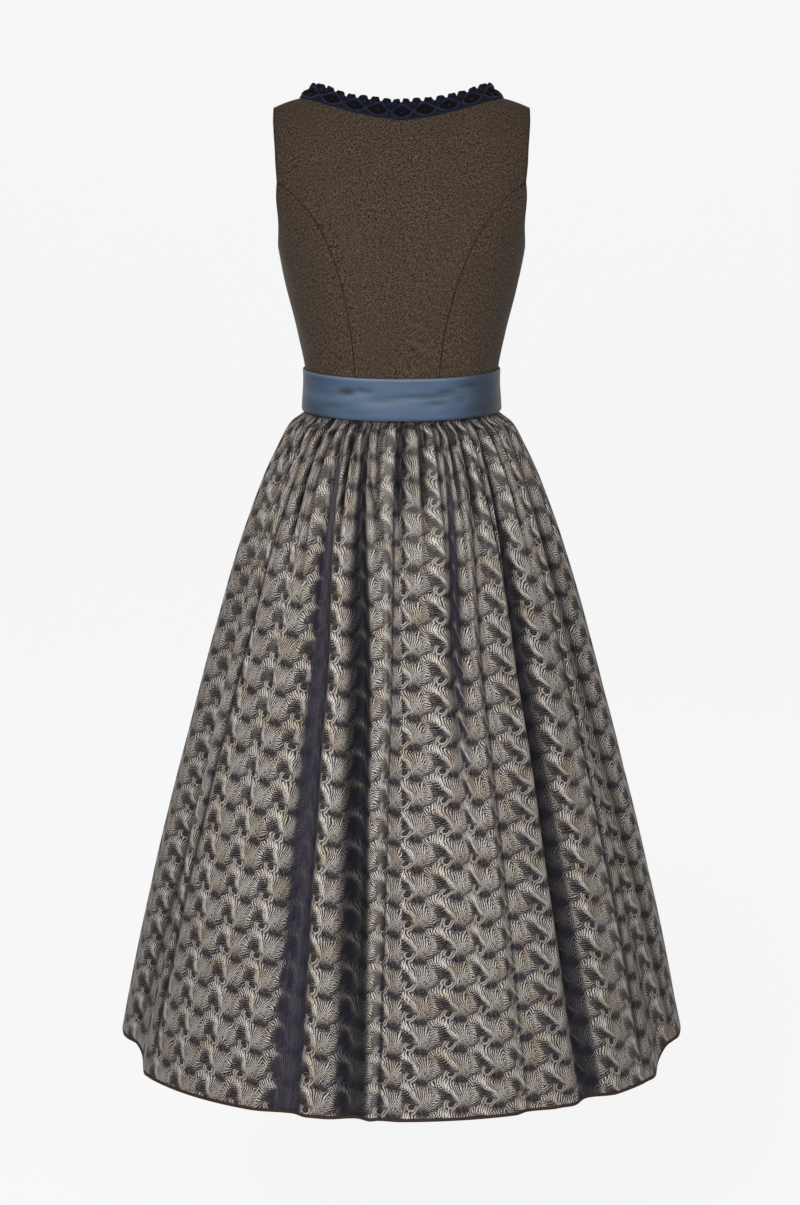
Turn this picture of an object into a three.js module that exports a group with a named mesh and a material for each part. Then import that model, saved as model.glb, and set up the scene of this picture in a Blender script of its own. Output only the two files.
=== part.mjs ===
// A dirndl with its tied apron, in millimetres, +Z up, front towards -Y, the wearer's left towards +X.
// The origin lies midway between the two shoulder seams. "Down" is the drop below the shoulder line and
// "turn" the angle round the body: 0 at the centre back, 90 at the wearer's left, 180 at the centre front.
import * as THREE from "three";

// Walls of each cloth and the room between pieces
const WOOL_WALL = 2.0;
const JACQUARD_WALL = 1.6;
const SATIN_WALL = 1.2;
const VELVET_WALL = 1.6;
const BINDING_WALL = 2.2;
const SEAM_GAP = 0.3;
const LAYER_GAP = 0.8;

// Levels of the garment, as drops below the shoulder line
const BAND_TOP = 331;
const BAND_BOTTOM = 382.5;
const WAIST_SEAM = 360;
const APRON_TOP = 384;
const APRON_HEM = 1150;
const SKIRT_HEM = 1206;
const BINDING_HEM = 1210;

// The shoulder line slopes down towards its tip, and the waist hangs lower at the centre than at the sides
const SHOULDER_RISE = 4;
const SHOULDER_FALL = 16;
const SHOULDER_FLAT = 96;
const SHOULDER_SLOPE = 64;
const SHOULDER_FADE = 150;
const WAIST_DIP = 6;
const DIP_STARTS = 120;
const DIP_FULL = 330;
const DIP_ENDS = 900;
const TRUNK_SQUARENESS = 2.4;

// The trunk that the bodice is cut for: how far it reaches back, forward and to each side at each drop
const TRUNK = [
  { down: 0, back: 0, front: 0, half: 186 },
  { down: 4, back: 15, front: 13, half: 186 },
  { down: 12, back: 27, front: 23, half: 187 },
  { down: 29, back: 43, front: 35, half: 187 },
  { down: 50, back: 57, front: 44, half: 186 },
  { down: 80, back: 71, front: 54, half: 181 },
  { down: 115, back: 83, front: 67, half: 170 },
  { down: 150, back: 90, front: 81, half: 158 },
  { down: 185, back: 93, front: 90, half: 152.5 },
  { down: 215, back: 93, front: 92, half: 147 },
  { down: 250, back: 91, front: 89, half: 138.5 },
  { down: 290, back: 88, front: 85, half: 129 },
  { down: 335, back: 86, front: 82.5, half: 120.5 },
  { down: 385, back: 88.5, front: 84, half: 122.5 },
];
const BUST_OUT = 24;
const BUST_ACROSS = 84;
const BUST_DOWN = 192;
const BUST_WIDE = 46;
const BUST_TALL = 62;

// Outer edge of the back: the armhole from the shoulder tip, then the princess seams to the waist
const BACK_EDGE = [
  { down: 360, left: 57, right: 45 },
  { down: 338, left: 57, right: 45.7 },
  { down: 310, left: 58.3, right: 48 },
  { down: 280, left: 61.9, right: 51.8 },
  { down: 250, left: 66.8, right: 58.6 },
  { down: 220, left: 73.3, right: 67.7 },
  { down: 190, left: 82.6, right: 79 },
  { down: 162, left: 95, right: 93.6 },
  { down: 137, left: 111, right: 110.5 },
  { down: 116, left: 130.5, right: 129 },
  { down: 98, left: 152, right: 151.5 },
  { down: 74, left: 153.6, right: 153.6 },
  { down: 52, left: 154.5, right: 154.5 },
  { down: 32, left: 156, right: 156 },
  { down: 16, left: 157, right: 157 },
  { down: 6, left: 157, right: 157 },
  { down: 1, left: 157, right: 157 },
  { down: 0, left: 157, right: 157 },
];
// Each front, the same way round: its armhole and princess seam, and its centre front and scooped neck edge
const FRONT_EDGE = [
  { down: 360, outer: 60, neck: 0 },
  { down: 337, outer: 61.3, neck: 0 },
  { down: 300, outer: 65, neck: 0 },
  { down: 263, outer: 70, neck: 0 },
  { down: 228, outer: 78.5, neck: 0 },
  { down: 195, outer: 88, neck: 0 },
  { down: 163, outer: 103, neck: 0 },
  { down: 157, outer: 106, neck: 42 },
  { down: 144, outer: 114, neck: 72 },
  { down: 128, outer: 125.5, neck: 92 },
  { down: 112, outer: 138, neck: 103 },
  { down: 95, outer: 138, neck: 110 },
  { down: 76, outer: 139, neck: 115 },
  { down: 52, outer: 142, neck: 120.5 },
  { down: 32, outer: 146, neck: 123 },
  { down: 16, outer: 150, neck: 124.6 },
  { down: 6, outer: 154, neck: 125.3 },
  { down: 1, outer: 156, neck: 125.6 },
  { down: 0, outer: 157, neck: 125.6 },
];
const FRONT_NECK_ROW = 6;
const FRONT_COLUMNS = 7;
const SEAM_ROWS = 11;
const UNDERARM_DOWN = 184;
const SIDE_COLUMNS = 5;

// Columns of the back, as shares of its half width, and the neck edge's drop at each
const STRAP_SHARES = [1, 0.9, 0.8];
const NECK_SHARES = [0.64, 0.48, 0.32, 0.16, 0];
const BACK_NECK_DROP = 29;
const BACK_NECK_CURVE = 1.5;

// The neck trim: how tall it is and its row of ruched pockets
const TRIM_TALL = 25;
const TRIM_UNIT = 31.4;
const TRIM_STEPS = 6;
const TRIM_LEVELS = [0, 0.3, 0.68, 1];
const TRIM_SCALLOP = 2.2;
const POCKET_WIDE = 0.62;
const POCKET_MIDDLE = 0.4;
const POCKET_TALL = 0.42;
const POCKET_RIM = 4.2;
const POCKET_FLOOR = 0.6;
const TRIM_REST = 1.8;
const TRIM_RISE = 0.45;
const TRIM_END = 0.45;
const TANGENT_STEP = 9;

// Skirt: reach at each drop, how deep its gathers are, and what share of its large folds' depth it has
const SKIRT = [
  { down: 360, half: 119.6, back: 85.8, front: 81.9, gather: 0.6, fold: 0 },
  { down: 384, half: 121, back: 86.8, front: 82.3, gather: 0.9, fold: 0 },
  { down: 400, half: 140, back: 104, front: 98, gather: 3.6, fold: 0.1 },
  { down: 423, half: 153, back: 118, front: 110, gather: 6, fold: 0.2 },
  { down: 475, half: 177, back: 142, front: 130, gather: 6, fold: 0.36 },
  { down: 575, half: 212, back: 173, front: 160, gather: 3.2, fold: 0.55 },
  { down: 755, half: 262, back: 218, front: 203, gather: 1, fold: 0.75 },
  { down: 980, half: 316, back: 264, front: 250, gather: 0.2, fold: 0.7 },
  { down: 1206, half: 362, back: 300, front: 286, gather: 0, fold: 0.32 },
  { down: 1210, half: 362.8, back: 300.6, front: 286.6, gather: 0, fold: 0.32 },
];
const SKIRT_ROWS = [384, 400, 423, 475, 575, 755, 980, SKIRT_HEM];
const SKIRT_ROUND_FROM = 700;
const SKIRT_SQUARENESS = 2;
// The hem hangs higher at both sides: by how much, and the shares of forward reach between which it does
const SIDE_RISE = { tall: 24, full: 0.28, ends: 0.46 };
const HEM_BEND = 0.05;
const GATHERS = 52;
const COLUMNS_PER_GATHER = 4;
// No two gathers are alike: their mean depth and two slow changes from one to the next
const UNEVEN = { mean: 0.75, slow: 0.25, slowTurns: 2.4, quick: 0.2, quickTurns: 5.1, quickStart: 1 };
const FADE_STARTS = 0.6;
// Large folds: turn at the waist and at the hem, reach to either side, depth at the hem, where each fades out
const FOLDS = [
  { name: "left_side", waist: 66, hem: 70, left: 11, right: 8, deep: 34, fades: 9999 },
  { name: "left_back", waist: 27, hem: 22, left: 9, right: 3.6, deep: 26, fades: 9999 },
  { name: "left_centre", waist: 15, hem: 9, left: 6, right: 3.4, deep: 28, fades: 9999 },
  { name: "centre_crease", waist: 0.5, hem: 4.4, left: 2, right: 4.2, deep: 11, fades: 9999 },
  { name: "short_centre", waist: -17, hem: -16, left: 4, right: 4, deep: 20, fades: 960 },
  { name: "right_centre", waist: -25, hem: -25.5, left: 3.4, right: 8, deep: 22, fades: 9999 },
  { name: "right_shallow", waist: -31, hem: -32, left: 3, right: 3, deep: 6, fades: 9999 },
  { name: "right_back", waist: -39, hem: -40.5, left: 5.5, right: 7, deep: 42, fades: 9999 },
  { name: "right_side", waist: -64, hem: -68, left: 8, right: 12, deep: 34, fades: 9999 },
  { name: "left_front_1", waist: 100, hem: 101, left: 8, right: 6, deep: 26, fades: 9999 },
  { name: "left_front_2", waist: 118, hem: 119, left: 8, right: 7, deep: 22, fades: 9999 },
  { name: "left_front_3", waist: 138, hem: 139, left: 9, right: 8, deep: 20, fades: 9999 },
  { name: "left_front_4", waist: 160, hem: 160, left: 9, right: 9, deep: 18, fades: 9999 },
  { name: "right_front_1", waist: -99, hem: -100, left: 7, right: 8, deep: 26, fades: 9999 },
  { name: "right_front_2", waist: -117, hem: -118, left: 8, right: 8, deep: 22, fades: 9999 },
  { name: "right_front_3", waist: -137, hem: -138, left: 8, right: 9, deep: 20, fades: 9999 },
  { name: "right_front_4", waist: -160, hem: -160, left: 9, right: 9, deep: 18, fades: 9999 },
];

// Apron: its waistband, its gathered panel, the tie round the waist and the bow at the centre front
const WAISTBAND_TURN = 112;
const WAISTBAND_TOP = 334;
const WAISTBAND_COLUMNS = 28;
const TIE_COLUMNS = 64;
const TIE_LEVELS = [BAND_BOTTOM, 368, 348, BAND_TOP];
const TIE_STEPS_OUT = { starts: 96, ends: 109 };
const TIE_WRINKLE = 0.9;
const TIE_WRINKLE_TURNS = { turn: 0.11, down: 0.16 };
const PANEL_TURN = 118;
const PANEL_COLUMNS = 33;
const PANEL_ROWS = [APRON_TOP + SEAM_GAP, 400, 423, 475, 575, 755, 980, APRON_HEM];
const PANEL_LIFT = 4;
const PANEL_WAVES = 11;
const PANEL_GATHER = { tall: 3.2, full: 423 };
const PANEL_FLARE = 5;
const KNOT = { across: 13, deep: 8, tall: 18, down: 355 };
const KNOT_SIDES = 14;
const KNOT_RINGS = 8;
// Each loop starts beside the knot and widens, its end rounds off and its middle puffs out
const LOOP = { start: 12.8, long: 66, narrow: 10, wide: 22, drop: 3, wall: 3, puff: 5 };
const LOOP_SHAPE = { rounds: 5, widens: 1.4, puffs: 1.05, flattens: 0.6 };
const LOOP_STEPS = { long: 8, wide: 6 };
// Each tail hangs from under the knot, sways in and out across its width and is cut off on a slant
const TAIL = { start: 9.6, spread: 27, top: 372.2, bottom: 690, narrow: 9, wide: 25 };
const TAIL_OUT = { top: 12.6, below: 17.5, by: 0.15 };
const TAIL_SWAY = { tall: 2, across: 3, along: 5, full: 0.2 };
const TAIL_SLANT = { tall: 14, starts: 0.6 };
const TAIL_STEPS = { long: 7, wide: 4 };

const smooth = (from, to, at) => {
  const share = Math.min(1, Math.max(0, (at - from) / (to - from)));
  return share * share * (3 - 2 * share);
};
const mix = (from, to, share) => from + (to - from) * share;
const radians = (degrees) => (degrees * Math.PI) / 180;
const bell = (at) => Math.exp(-at * at);

// A table's column at a drop, eased through its rows; `scale` spaces the rows
function reading(table, column, down, scale = (value) => value) {
  const last = table.length - 1;
  let row = 0;
  while (row < last - 1 && down > table[row + 1].down) {
    row += 1;
  }
  const place = (k) => scale(table[k].down);
  const slope = (k) => {
    const before = Math.max(0, k - 1);
    const after = Math.min(last, k + 1);
    return (table[after][column] - table[before][column]) / (place(after) - place(before));
  };
  const gap = place(row + 1) - place(row);
  const t = (scale(down) - place(row)) / gap;
  const start = table[row][column];
  const end = table[row + 1][column];
  const bend = t * t * (3 - 2 * t);
  const lead = t * (1 - t) * (1 - t) * slope(row);
  const tail = t * t * (1 - t) * slope(row + 1);
  return start + (end - start) * bend + gap * (lead - tail);
}

// A point on a rounded ring: across, then towards the back
function ring(turn, half, back, front, squareness) {
  const across = Math.sin(radians(turn));
  const along = Math.cos(radians(turn));
  const power = 2 / squareness;
  const deep = along > 0 ? back : front;
  return [
    half * Math.sign(across) * Math.pow(Math.abs(across), power),
    deep * Math.sign(along) * Math.pow(Math.abs(along), power),
  ];
}

function dip(turn, down) {
  const share = smooth(DIP_STARTS, DIP_FULL, down) * (1 - smooth(BAND_BOTTOM, DIP_ENDS, down));
  return WAIST_DIP * share * Math.cos(radians(turn)) ** 2;
}

function shoulderLine(across, down) {
  const past = Math.max(0, Math.abs(across) - SHOULDER_FLAT) / SHOULDER_SLOPE;
  const slope = SHOULDER_RISE - SHOULDER_FALL * past * past;
  return slope * (1 - smooth(0, SHOULDER_FADE, down));
}

// The trunk's surface; rows are spaced by the root of the drop, so that the shoulder rounds over
function onTrunk(turn, root) {
  const down = root * root;
  const half = reading(TRUNK, "half", down, Math.sqrt);
  const back = reading(TRUNK, "back", down, Math.sqrt);
  const front = reading(TRUNK, "front", down, Math.sqrt);
  const [x, y] = ring(turn, half, back, front, TRUNK_SQUARENESS);
  const nearBust = bell((Math.abs(x) - BUST_ACROSS) / BUST_WIDE) * bell((down - BUST_DOWN) / BUST_TALL);
  const forward = Math.max(0, -Math.cos(radians(turn)));
  const bust = BUST_OUT * nearBust * Math.sqrt(forward);
  return new THREE.Vector3(x, y - bust, shoulderLine(x, down) - down - dip(turn, down));
}

// The turn at which the trunk is this far across
function turnAt(across, root) {
  const half = reading(TRUNK, "half", root * root, Math.sqrt);
  const share = Math.min(1, Math.abs(across) / half);
  return (Math.sign(across) * Math.asin(Math.pow(share, TRUNK_SQUARENESS / 2)) * 180) / Math.PI;
}

// The way a surface faces at a place on it
function facing(surface, turn, drop) {
  const turnStep = 0.2;
  const dropStep = 0.02;
  const low = Math.max(0, drop - dropStep);
  const around = surface(turn + turnStep, drop).sub(surface(turn - turnStep, drop));
  const fall = surface(turn, drop + dropStep).sub(surface(turn, low));
  return around.cross(fall).normalize();
}

// Moves a grid's border in by half a seam, square to the border
function openSeams(grid, sides) {
  const rows = grid.length - 1;
  const columns = grid[0].length - 1;
  const moved = grid.map((row) => row.map((point) => point.clone()));
  const shift = (i, j, inward, before, after) => {
    const along = after.clone().sub(before).normalize();
    const way = inward.clone().sub(grid[i][j]);
    way.addScaledVector(along, -way.dot(along)).normalize();
    moved[i][j].addScaledVector(way, SEAM_GAP / 2);
  };
  for (let i = 0; i <= rows; i += 1) {
    const above = Math.max(0, i - 1);
    const below = Math.min(rows, i + 1);
    if (sides.first) {
      shift(i, 0, grid[i][1], grid[above][0], grid[below][0]);
    }
    if (sides.last) {
      shift(i, columns, grid[i][columns - 1], grid[above][columns], grid[below][columns]);
    }
  }
  for (let j = 0; j <= columns; j += 1) {
    const before = Math.max(0, j - 1);
    const after = Math.min(columns, j + 1);
    if (sides.top) {
      shift(0, j, grid[1][j], grid[0][before], grid[0][after]);
    }
    if (sides.bottom) {
      shift(rows, j, grid[rows - 1][j], grid[rows][before], grid[rows][after]);
    }
  }
  return moved;
}

// One closed sheet from the grids of its outer and inner faces; rows run down, columns with the turn
function sheetGeometry(outer, inner) {
  const rows = outer.length - 1;
  const columns = outer[0].length - 1;
  const corners = [];
  const quad = (a, b, c, d) => {
    for (const corner of [a, b, c, a, c, d]) {
      corners.push(corner.x, corner.y, corner.z);
    }
  };
  for (let i = 0; i < rows; i += 1) {
    for (let j = 0; j < columns; j += 1) {
      quad(outer[i][j], outer[i][j + 1], outer[i + 1][j + 1], outer[i + 1][j]);
      quad(inner[i][j], inner[i + 1][j], inner[i + 1][j + 1], inner[i][j + 1]);
    }
  }
  for (let i = 0; i < rows; i += 1) {
    quad(outer[i][0], outer[i + 1][0], inner[i + 1][0], inner[i][0]);
    quad(outer[i][columns], inner[i][columns], inner[i + 1][columns], outer[i + 1][columns]);
  }
  for (let j = 0; j < columns; j += 1) {
    quad(outer[0][j], inner[0][j], inner[0][j + 1], outer[0][j + 1]);
    quad(outer[rows][j], outer[rows][j + 1], inner[rows][j + 1], inner[rows][j]);
  }
  const geometry = new THREE.BufferGeometry();
  geometry.setAttribute("position", new THREE.Float32BufferAttribute(corners, 3));
  geometry.computeVertexNormals();
  return geometry;
}

// A sheet cut from a surface: `places` holds rows of [turn, drop], `out` how far each stands off it
function cutSheet(surface, places, wall, sides, out = () => 0) {
  const normals = places.map((row) => row.map(([turn, drop]) => facing(surface, turn, drop)));
  const base = openSeams(places.map((row) => row.map(([turn, drop]) => surface(turn, drop))), sides);
  const moved = (away) =>
    base.map((row, i) =>
      row.map((point, j) => point.clone().addScaledVector(normals[i][j], away(i, j))),
    );
  const outer = moved((i, j) => out(...places[i][j]));
  const inner = moved((i, j) => out(...places[i][j]) - wall);
  return sheetGeometry(outer, inner);
}

const material = (name, color, roughness) => {
  const made = new THREE.MeshStandardMaterial({ color, roughness });
  made.name = name;
  return made;
};
const wool = material("wool", 0x4a3f35, 0.95);
const velvet = material("velvet", 0x1c2036, 0.9);
const satin = material("satin", 0x4a627f, 0.35);
const jacquard = material("jacquard", 0x77706a, 0.7);
const tape = material("hem_tape", 0x33231c, 0.8);

const group = new THREE.Group();
group.name = "dirndl";
function add(name, geometry, cloth) {
  const mesh = new THREE.Mesh(geometry, cloth);
  mesh.name = name;
  group.add(mesh);
}

// Bodice. Rows run down from the neck and shoulder to the waist.
const waistRoot = Math.sqrt(WAIST_SEAM);
const backNeckDown = (share) => {
  const along = Math.min(1, Math.abs(share) / STRAP_SHARES[2]);
  return BACK_NECK_DROP * (1 - Math.pow(along, BACK_NECK_CURVE));
};
// Squeezes a row's place between the waist and the top of its column
const squeezed = (root, topRoot) => waistRoot + ((root - waistRoot) * (waistRoot - topRoot)) / waistRoot;

function backPlaces() {
  const plus = [...STRAP_SHARES, ...NECK_SHARES];
  const shares = [...plus.slice(0, -1).map((share) => -share), ...plus.slice().reverse()];
  return BACK_EDGE.slice()
    .reverse()
    .map(({ down, left, right }) =>
      shares.map((share) => {
        const root = squeezed(Math.sqrt(down), Math.sqrt(backNeckDown(share)));
        const across = share * (share > 0 ? left : right);
        return [turnAt(across, root), root];
      }),
    );
}

// One front, between its outer edge and the centre front with the neck edge above it
function frontPlaces(side) {
  return FRONT_EDGE.slice()
    .reverse()
    .map(({ down, outer, neck }) => {
      const root = Math.sqrt(down);
      const row = [];
      for (let j = 0; j <= FRONT_COLUMNS; j += 1) {
        row.push([side * (180 - turnAt(mix(outer, neck, j / FRONT_COLUMNS), root)), root]);
      }
      return side > 0 ? row : row.reverse();
    });
}

// A side panel, from the princess seam to the side seam, for a wearer's side (1 left, -1 right)
function sidePlaces(edges, side, isFront) {
  const seam = edges.slice(0, SEAM_ROWS).reverse();
  return seam.map((edge, i) => {
    const seamRoot = Math.sqrt(edge.down);
    const sideRoot = mix(Math.sqrt(UNDERARM_DOWN), waistRoot, i / (SEAM_ROWS - 1));
    const ownEdge = side > 0 ? edge.left : edge.right;
    const across = turnAt(isFront ? edge.outer : ownEdge, seamRoot);
    const start = isFront ? 180 - across : across;
    const row = [];
    for (let j = 0; j <= SIDE_COLUMNS; j += 1) {
      const share = j / SIDE_COLUMNS;
      const root = mix(seamRoot, sideRoot, Math.sin((share * Math.PI) / 2));
      row.push([side * mix(start, 90, share), root]);
    }
    return (side > 0) === isFront ? row.reverse() : row;
  });
}

const ALL_ROUND = { first: true, last: true, top: true, bottom: true };
const SIDES = [
  ["left", 1],
  ["right", -1],
];
const bodicePiece = (places) => cutSheet(onTrunk, places, WOOL_WALL, ALL_ROUND);
add("bodice_back_centre", bodicePiece(backPlaces()), wool);
for (const [word, side] of SIDES) {
  add(`bodice_back_side_${word}`, bodicePiece(sidePlaces(BACK_EDGE, side, false)), wool);
  add(`bodice_front_side_${word}`, bodicePiece(sidePlaces(FRONT_EDGE, side, true)), wool);
  add(`bodice_front_${word}`, bodicePiece(frontPlaces(side)), wool);
}

// Neck edge, from the centre front up the left side, round the back and down the right side
const frontNeck = FRONT_EDGE.slice(FRONT_NECK_ROW).map(({ down, neck }) => {
  const root = Math.sqrt(down);
  return [180 - turnAt(neck, root), root];
});
const backTop = backPlaces()[0];
const strapColumns = STRAP_SHARES.length - 1;
const backNeck = backTop.slice(strapColumns + 1, backTop.length - 1 - strapColumns).reverse();
const otherSide = ([turn, root]) => [-turn, root];
const neckPlaces = [...frontNeck, ...backNeck, ...frontNeck.map(otherSide).reverse()];
const neckEdge = neckPlaces.map((place) => onTrunk(...place));
const neckFacing = neckPlaces.map((place) => facing(onTrunk, ...place));
const neckLengths = [0];
for (let k = 1; k < neckEdge.length; k += 1) {
  neckLengths.push(neckLengths[k - 1] + neckEdge[k].distanceTo(neckEdge[k - 1]));
}
const neckWhole = neckLengths[neckLengths.length - 1];
const frontNeckLength = neckLengths[frontNeck.length - 1];

function alongNeck(list, length) {
  const at = (length + neckWhole) % neckWhole;
  let k = 1;
  while (k < list.length - 1 && neckLengths[k] < at) {
    k += 1;
  }
  const share = (at - neckLengths[k - 1]) / (neckLengths[k] - neckLengths[k - 1]);
  return list[k - 1].clone().lerp(list[k], share);
}

// The trim carries on past the neck edge and stands up a little: its base, the way up it and the way out
function neckFrame(length) {
  const base = alongNeck(neckEdge, length);
  const ahead = alongNeck(neckEdge, length + TANGENT_STEP);
  const along = ahead.sub(alongNeck(neckEdge, length - TANGENT_STEP)).normalize();
  const surface = alongNeck(neckFacing, length);
  const up = surface.clone().cross(along).normalize();
  up.z += TRIM_RISE;
  up.addScaledVector(along, -up.dot(along)).normalize();
  return { base, up, out: along.clone().cross(up).normalize() };
}

// How far the ruched face stands out, and how tall it is there, along one unit of the trim
function pocketRelief(phase, level) {
  const aside = Math.abs(phase) / POCKET_WIDE;
  const apart = aside + Math.abs(level - POCKET_MIDDLE) / POCKET_TALL;
  if (apart < 1) {
    return mix(POCKET_FLOOR, POCKET_RIM, apart * apart);
  }
  return mix(POCKET_RIM, TRIM_REST, Math.min(1, apart - 1));
}

function trimSheet(from, to) {
  const units = Math.max(1, Math.round((to - from) / TRIM_UNIT));
  const columns = units * TRIM_STEPS;
  const outer = [];
  const inner = [];
  for (const level of TRIM_LEVELS.slice().reverse()) {
    const outerRow = [];
    const innerRow = [];
    for (let j = 0; j <= columns; j += 1) {
      const share = j / columns;
      const { base, up, out } = neckFrame(mix(from + TRIM_END, to - TRIM_END, share));
      const phase = ((share * units * 2) % 2) - 1;
      const tall = TRIM_TALL - TRIM_SCALLOP * Math.cos(Math.PI * phase) * smooth(0.5, 1, level);
      const foot = base.addScaledVector(up, SEAM_GAP + tall * level);
      outerRow.push(foot.clone().addScaledVector(out, pocketRelief(phase, level)));
      innerRow.push(foot.clone().addScaledVector(out, -VELVET_WALL));
    }
    outer.push(outerRow.reverse());
    inner.push(innerRow.reverse());
  }
  return sheetGeometry(outer, inner);
}
add("neck_trim_front_left", trimSheet(0, frontNeckLength), velvet);
add("neck_trim_back", trimSheet(frontNeckLength, neckWhole - frontNeckLength), velvet);
add("neck_trim_front_right", trimSheet(neckWhole - frontNeckLength, neckWhole), velvet);

// Skirt. Its large folds and its gathers are pressed in from the ring that it would fill.
function foldDepth(turn, down) {
  const share = reading(SKIRT, "fold", down);
  const fall = Math.min(1, Math.max(0, (down - SKIRT[1].down) / (SKIRT_HEM - SKIRT[1].down)));
  let deep = 0;
  for (const fold of FOLDS) {
    const middle = mix(fold.waist, fold.hem, Math.sqrt(fall));
    const away = ((((turn - middle) % 360) + 540) % 360) - 180;
    const reach = away > 0 ? fold.left : fold.right;
    const near = Math.abs(away) / reach;
    if (near < 1) {
      const fade = 1 - smooth(fold.fades * FADE_STARTS, fold.fades, down);
      deep = Math.max(deep, fold.deep * share * fade * Math.cos((near * Math.PI) / 2) ** 2);
    }
  }
  return deep;
}

function uneven(k) {
  const slow = UNEVEN.slow * Math.sin(k * UNEVEN.slowTurns);
  const quick = UNEVEN.quick * Math.sin(k * UNEVEN.quickTurns + UNEVEN.quickStart);
  return UNEVEN.mean + slow + quick;
}
function gatherDepth(turn, down) {
  const place = (turn / 360) * GATHERS;
  const wave = 0.5 + 0.5 * Math.cos(2 * Math.PI * place);
  return reading(SKIRT, "gather", down) * wave * uneven(Math.round(place));
}

function skirtSquareness(down) {
  return mix(TRUNK_SQUARENESS, SKIRT_SQUARENESS, smooth(APRON_TOP, SKIRT_ROUND_FROM, down));
}
function sideRise(turn, down) {
  const forward = Math.abs(Math.cos(radians(turn)));
  const beside = 1 - smooth(SIDE_RISE.full, SIDE_RISE.ends, forward);
  return SIDE_RISE.tall * beside * smooth(SKIRT_ROUND_FROM, SKIRT_HEM, down);
}
function skirtRing(turn, down, inset) {
  const half = reading(SKIRT, "half", down);
  const back = reading(SKIRT, "back", down);
  const front = reading(SKIRT, "front", down);
  const deep = Math.cos(radians(turn)) > 0 ? back : front;
  const [x, y] = ring(turn, half, back, front, skirtSquareness(down));
  const way = new THREE.Vector3(x / half ** 2, y / deep ** 2, 0).normalize();
  const level = sideRise(turn, down) - down - dip(turn, down);
  return new THREE.Vector3(x, y, level).addScaledVector(way, -inset);
}
function onSkirt(turn, down) {
  return skirtRing(turn, down, foldDepth(turn, down) + gatherDepth(turn, down));
}

const skirtColumn = 360 / (GATHERS * COLUMNS_PER_GATHER);
function bandPlaces(from, to, step, levels) {
  const columns = Math.round((to - from) / step);
  return levels.map((down) => {
    const row = [];
    for (let j = 0; j <= columns; j += 1) {
      row.push([from + ((to - from) * j) / columns, down]);
    }
    return row;
  });
}
const skirtRows = [WAIST_SEAM + SEAM_GAP, ...SKIRT_ROWS];
for (const [name, from] of [
  ["skirt_back_left", 0],
  ["skirt_front_left", 90],
  ["skirt_front_right", -180],
  ["skirt_back_right", -90],
]) {
  const places = bandPlaces(from, from + 90, skirtColumn, skirtRows);
  add(name, cutSheet(onSkirt, places, JACQUARD_WALL, ALL_ROUND), jacquard);
}
const bindingRows = [SKIRT_HEM + SEAM_GAP, BINDING_HEM];
const BINDING_SEAMS = { first: true, last: true, top: true };
const bindingOut = () => (BINDING_WALL - JACQUARD_WALL) / 2;
// The binding has every second column of the skirt, and all of them where the hem bends up or down
function bindingPlaces(from) {
  const riseAt = (turn) => sideRise(turn, SKIRT_HEM);
  const isBent = ([turn]) =>
    [-skirtColumn, skirtColumn].some((step) => Math.abs(riseAt(turn + step) - riseAt(turn)) > HEM_BEND);
  const all = bandPlaces(from, from + 180, skirtColumn, bindingRows);
  return all.map((row) => row.filter((place, j) => j % 2 === 0 || isBent(place)));
}
for (const [name, from] of [
  ["hem_binding_back", -90],
  ["hem_binding_front", 90],
]) {
  const places = bindingPlaces(from);
  add(name, cutSheet(onSkirt, places, BINDING_WALL, BINDING_SEAMS, bindingOut), tape);
}

// Apron
const rooted = (places) => places.map((row) => row.map(([turn, down]) => [turn, Math.sqrt(down)]));
const waistbandPlaces = bandPlaces(
  WAISTBAND_TURN,
  360 - WAISTBAND_TURN,
  (360 - 2 * WAISTBAND_TURN) / WAISTBAND_COLUMNS,
  [WAISTBAND_TOP, WAIST_SEAM, APRON_TOP],
);
add(
  "apron_waistband",
  cutSheet(onTrunk, rooted(waistbandPlaces), SATIN_WALL, { bottom: true }, () => LAYER_GAP + SATIN_WALL),
  satin,
);

const tieOut = (turn, root) => {
  const round = Math.abs(turn);
  const over = smooth(TIE_STEPS_OUT.starts, TIE_STEPS_OUT.ends, round) * (LAYER_GAP + SATIN_WALL);
  const place = turn * TIE_WRINKLE_TURNS.turn + root * root * TIE_WRINKLE_TURNS.down;
  const crease = TIE_WRINKLE * (0.5 + 0.5 * Math.sin(place));
  return LAYER_GAP + SATIN_WALL + over + crease;
};
const tiePlaces = bandPlaces(-180, 180, 360 / TIE_COLUMNS, TIE_LEVELS.slice().reverse());
const tieSeams = { first: true, last: true };
add("apron_tie", cutSheet(onTrunk, rooted(tiePlaces), SATIN_WALL, tieSeams, tieOut), satin);

const panelWave = (turn, down) => {
  const place = ((turn - PANEL_TURN) / (360 - 2 * PANEL_TURN)) * PANEL_WAVES;
  const gathered = PANEL_GATHER.tall * smooth(APRON_TOP, PANEL_GATHER.full, down);
  const tall = gathered + PANEL_FLARE * smooth(PANEL_GATHER.full, APRON_HEM, down);
  return tall * (0.5 - 0.5 * Math.cos(2 * Math.PI * place)) * uneven(Math.round(place + 0.5));
};
const onPanel = (turn, down) => skirtRing(turn, down, -PANEL_LIFT - panelWave(turn, down));
const panelPlaces = bandPlaces(
  PANEL_TURN,
  360 - PANEL_TURN,
  (360 - 2 * PANEL_TURN) / PANEL_COLUMNS,
  PANEL_ROWS,
);
add("apron_panel", cutSheet(onPanel, panelPlaces, SATIN_WALL, {}), satin);

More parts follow.
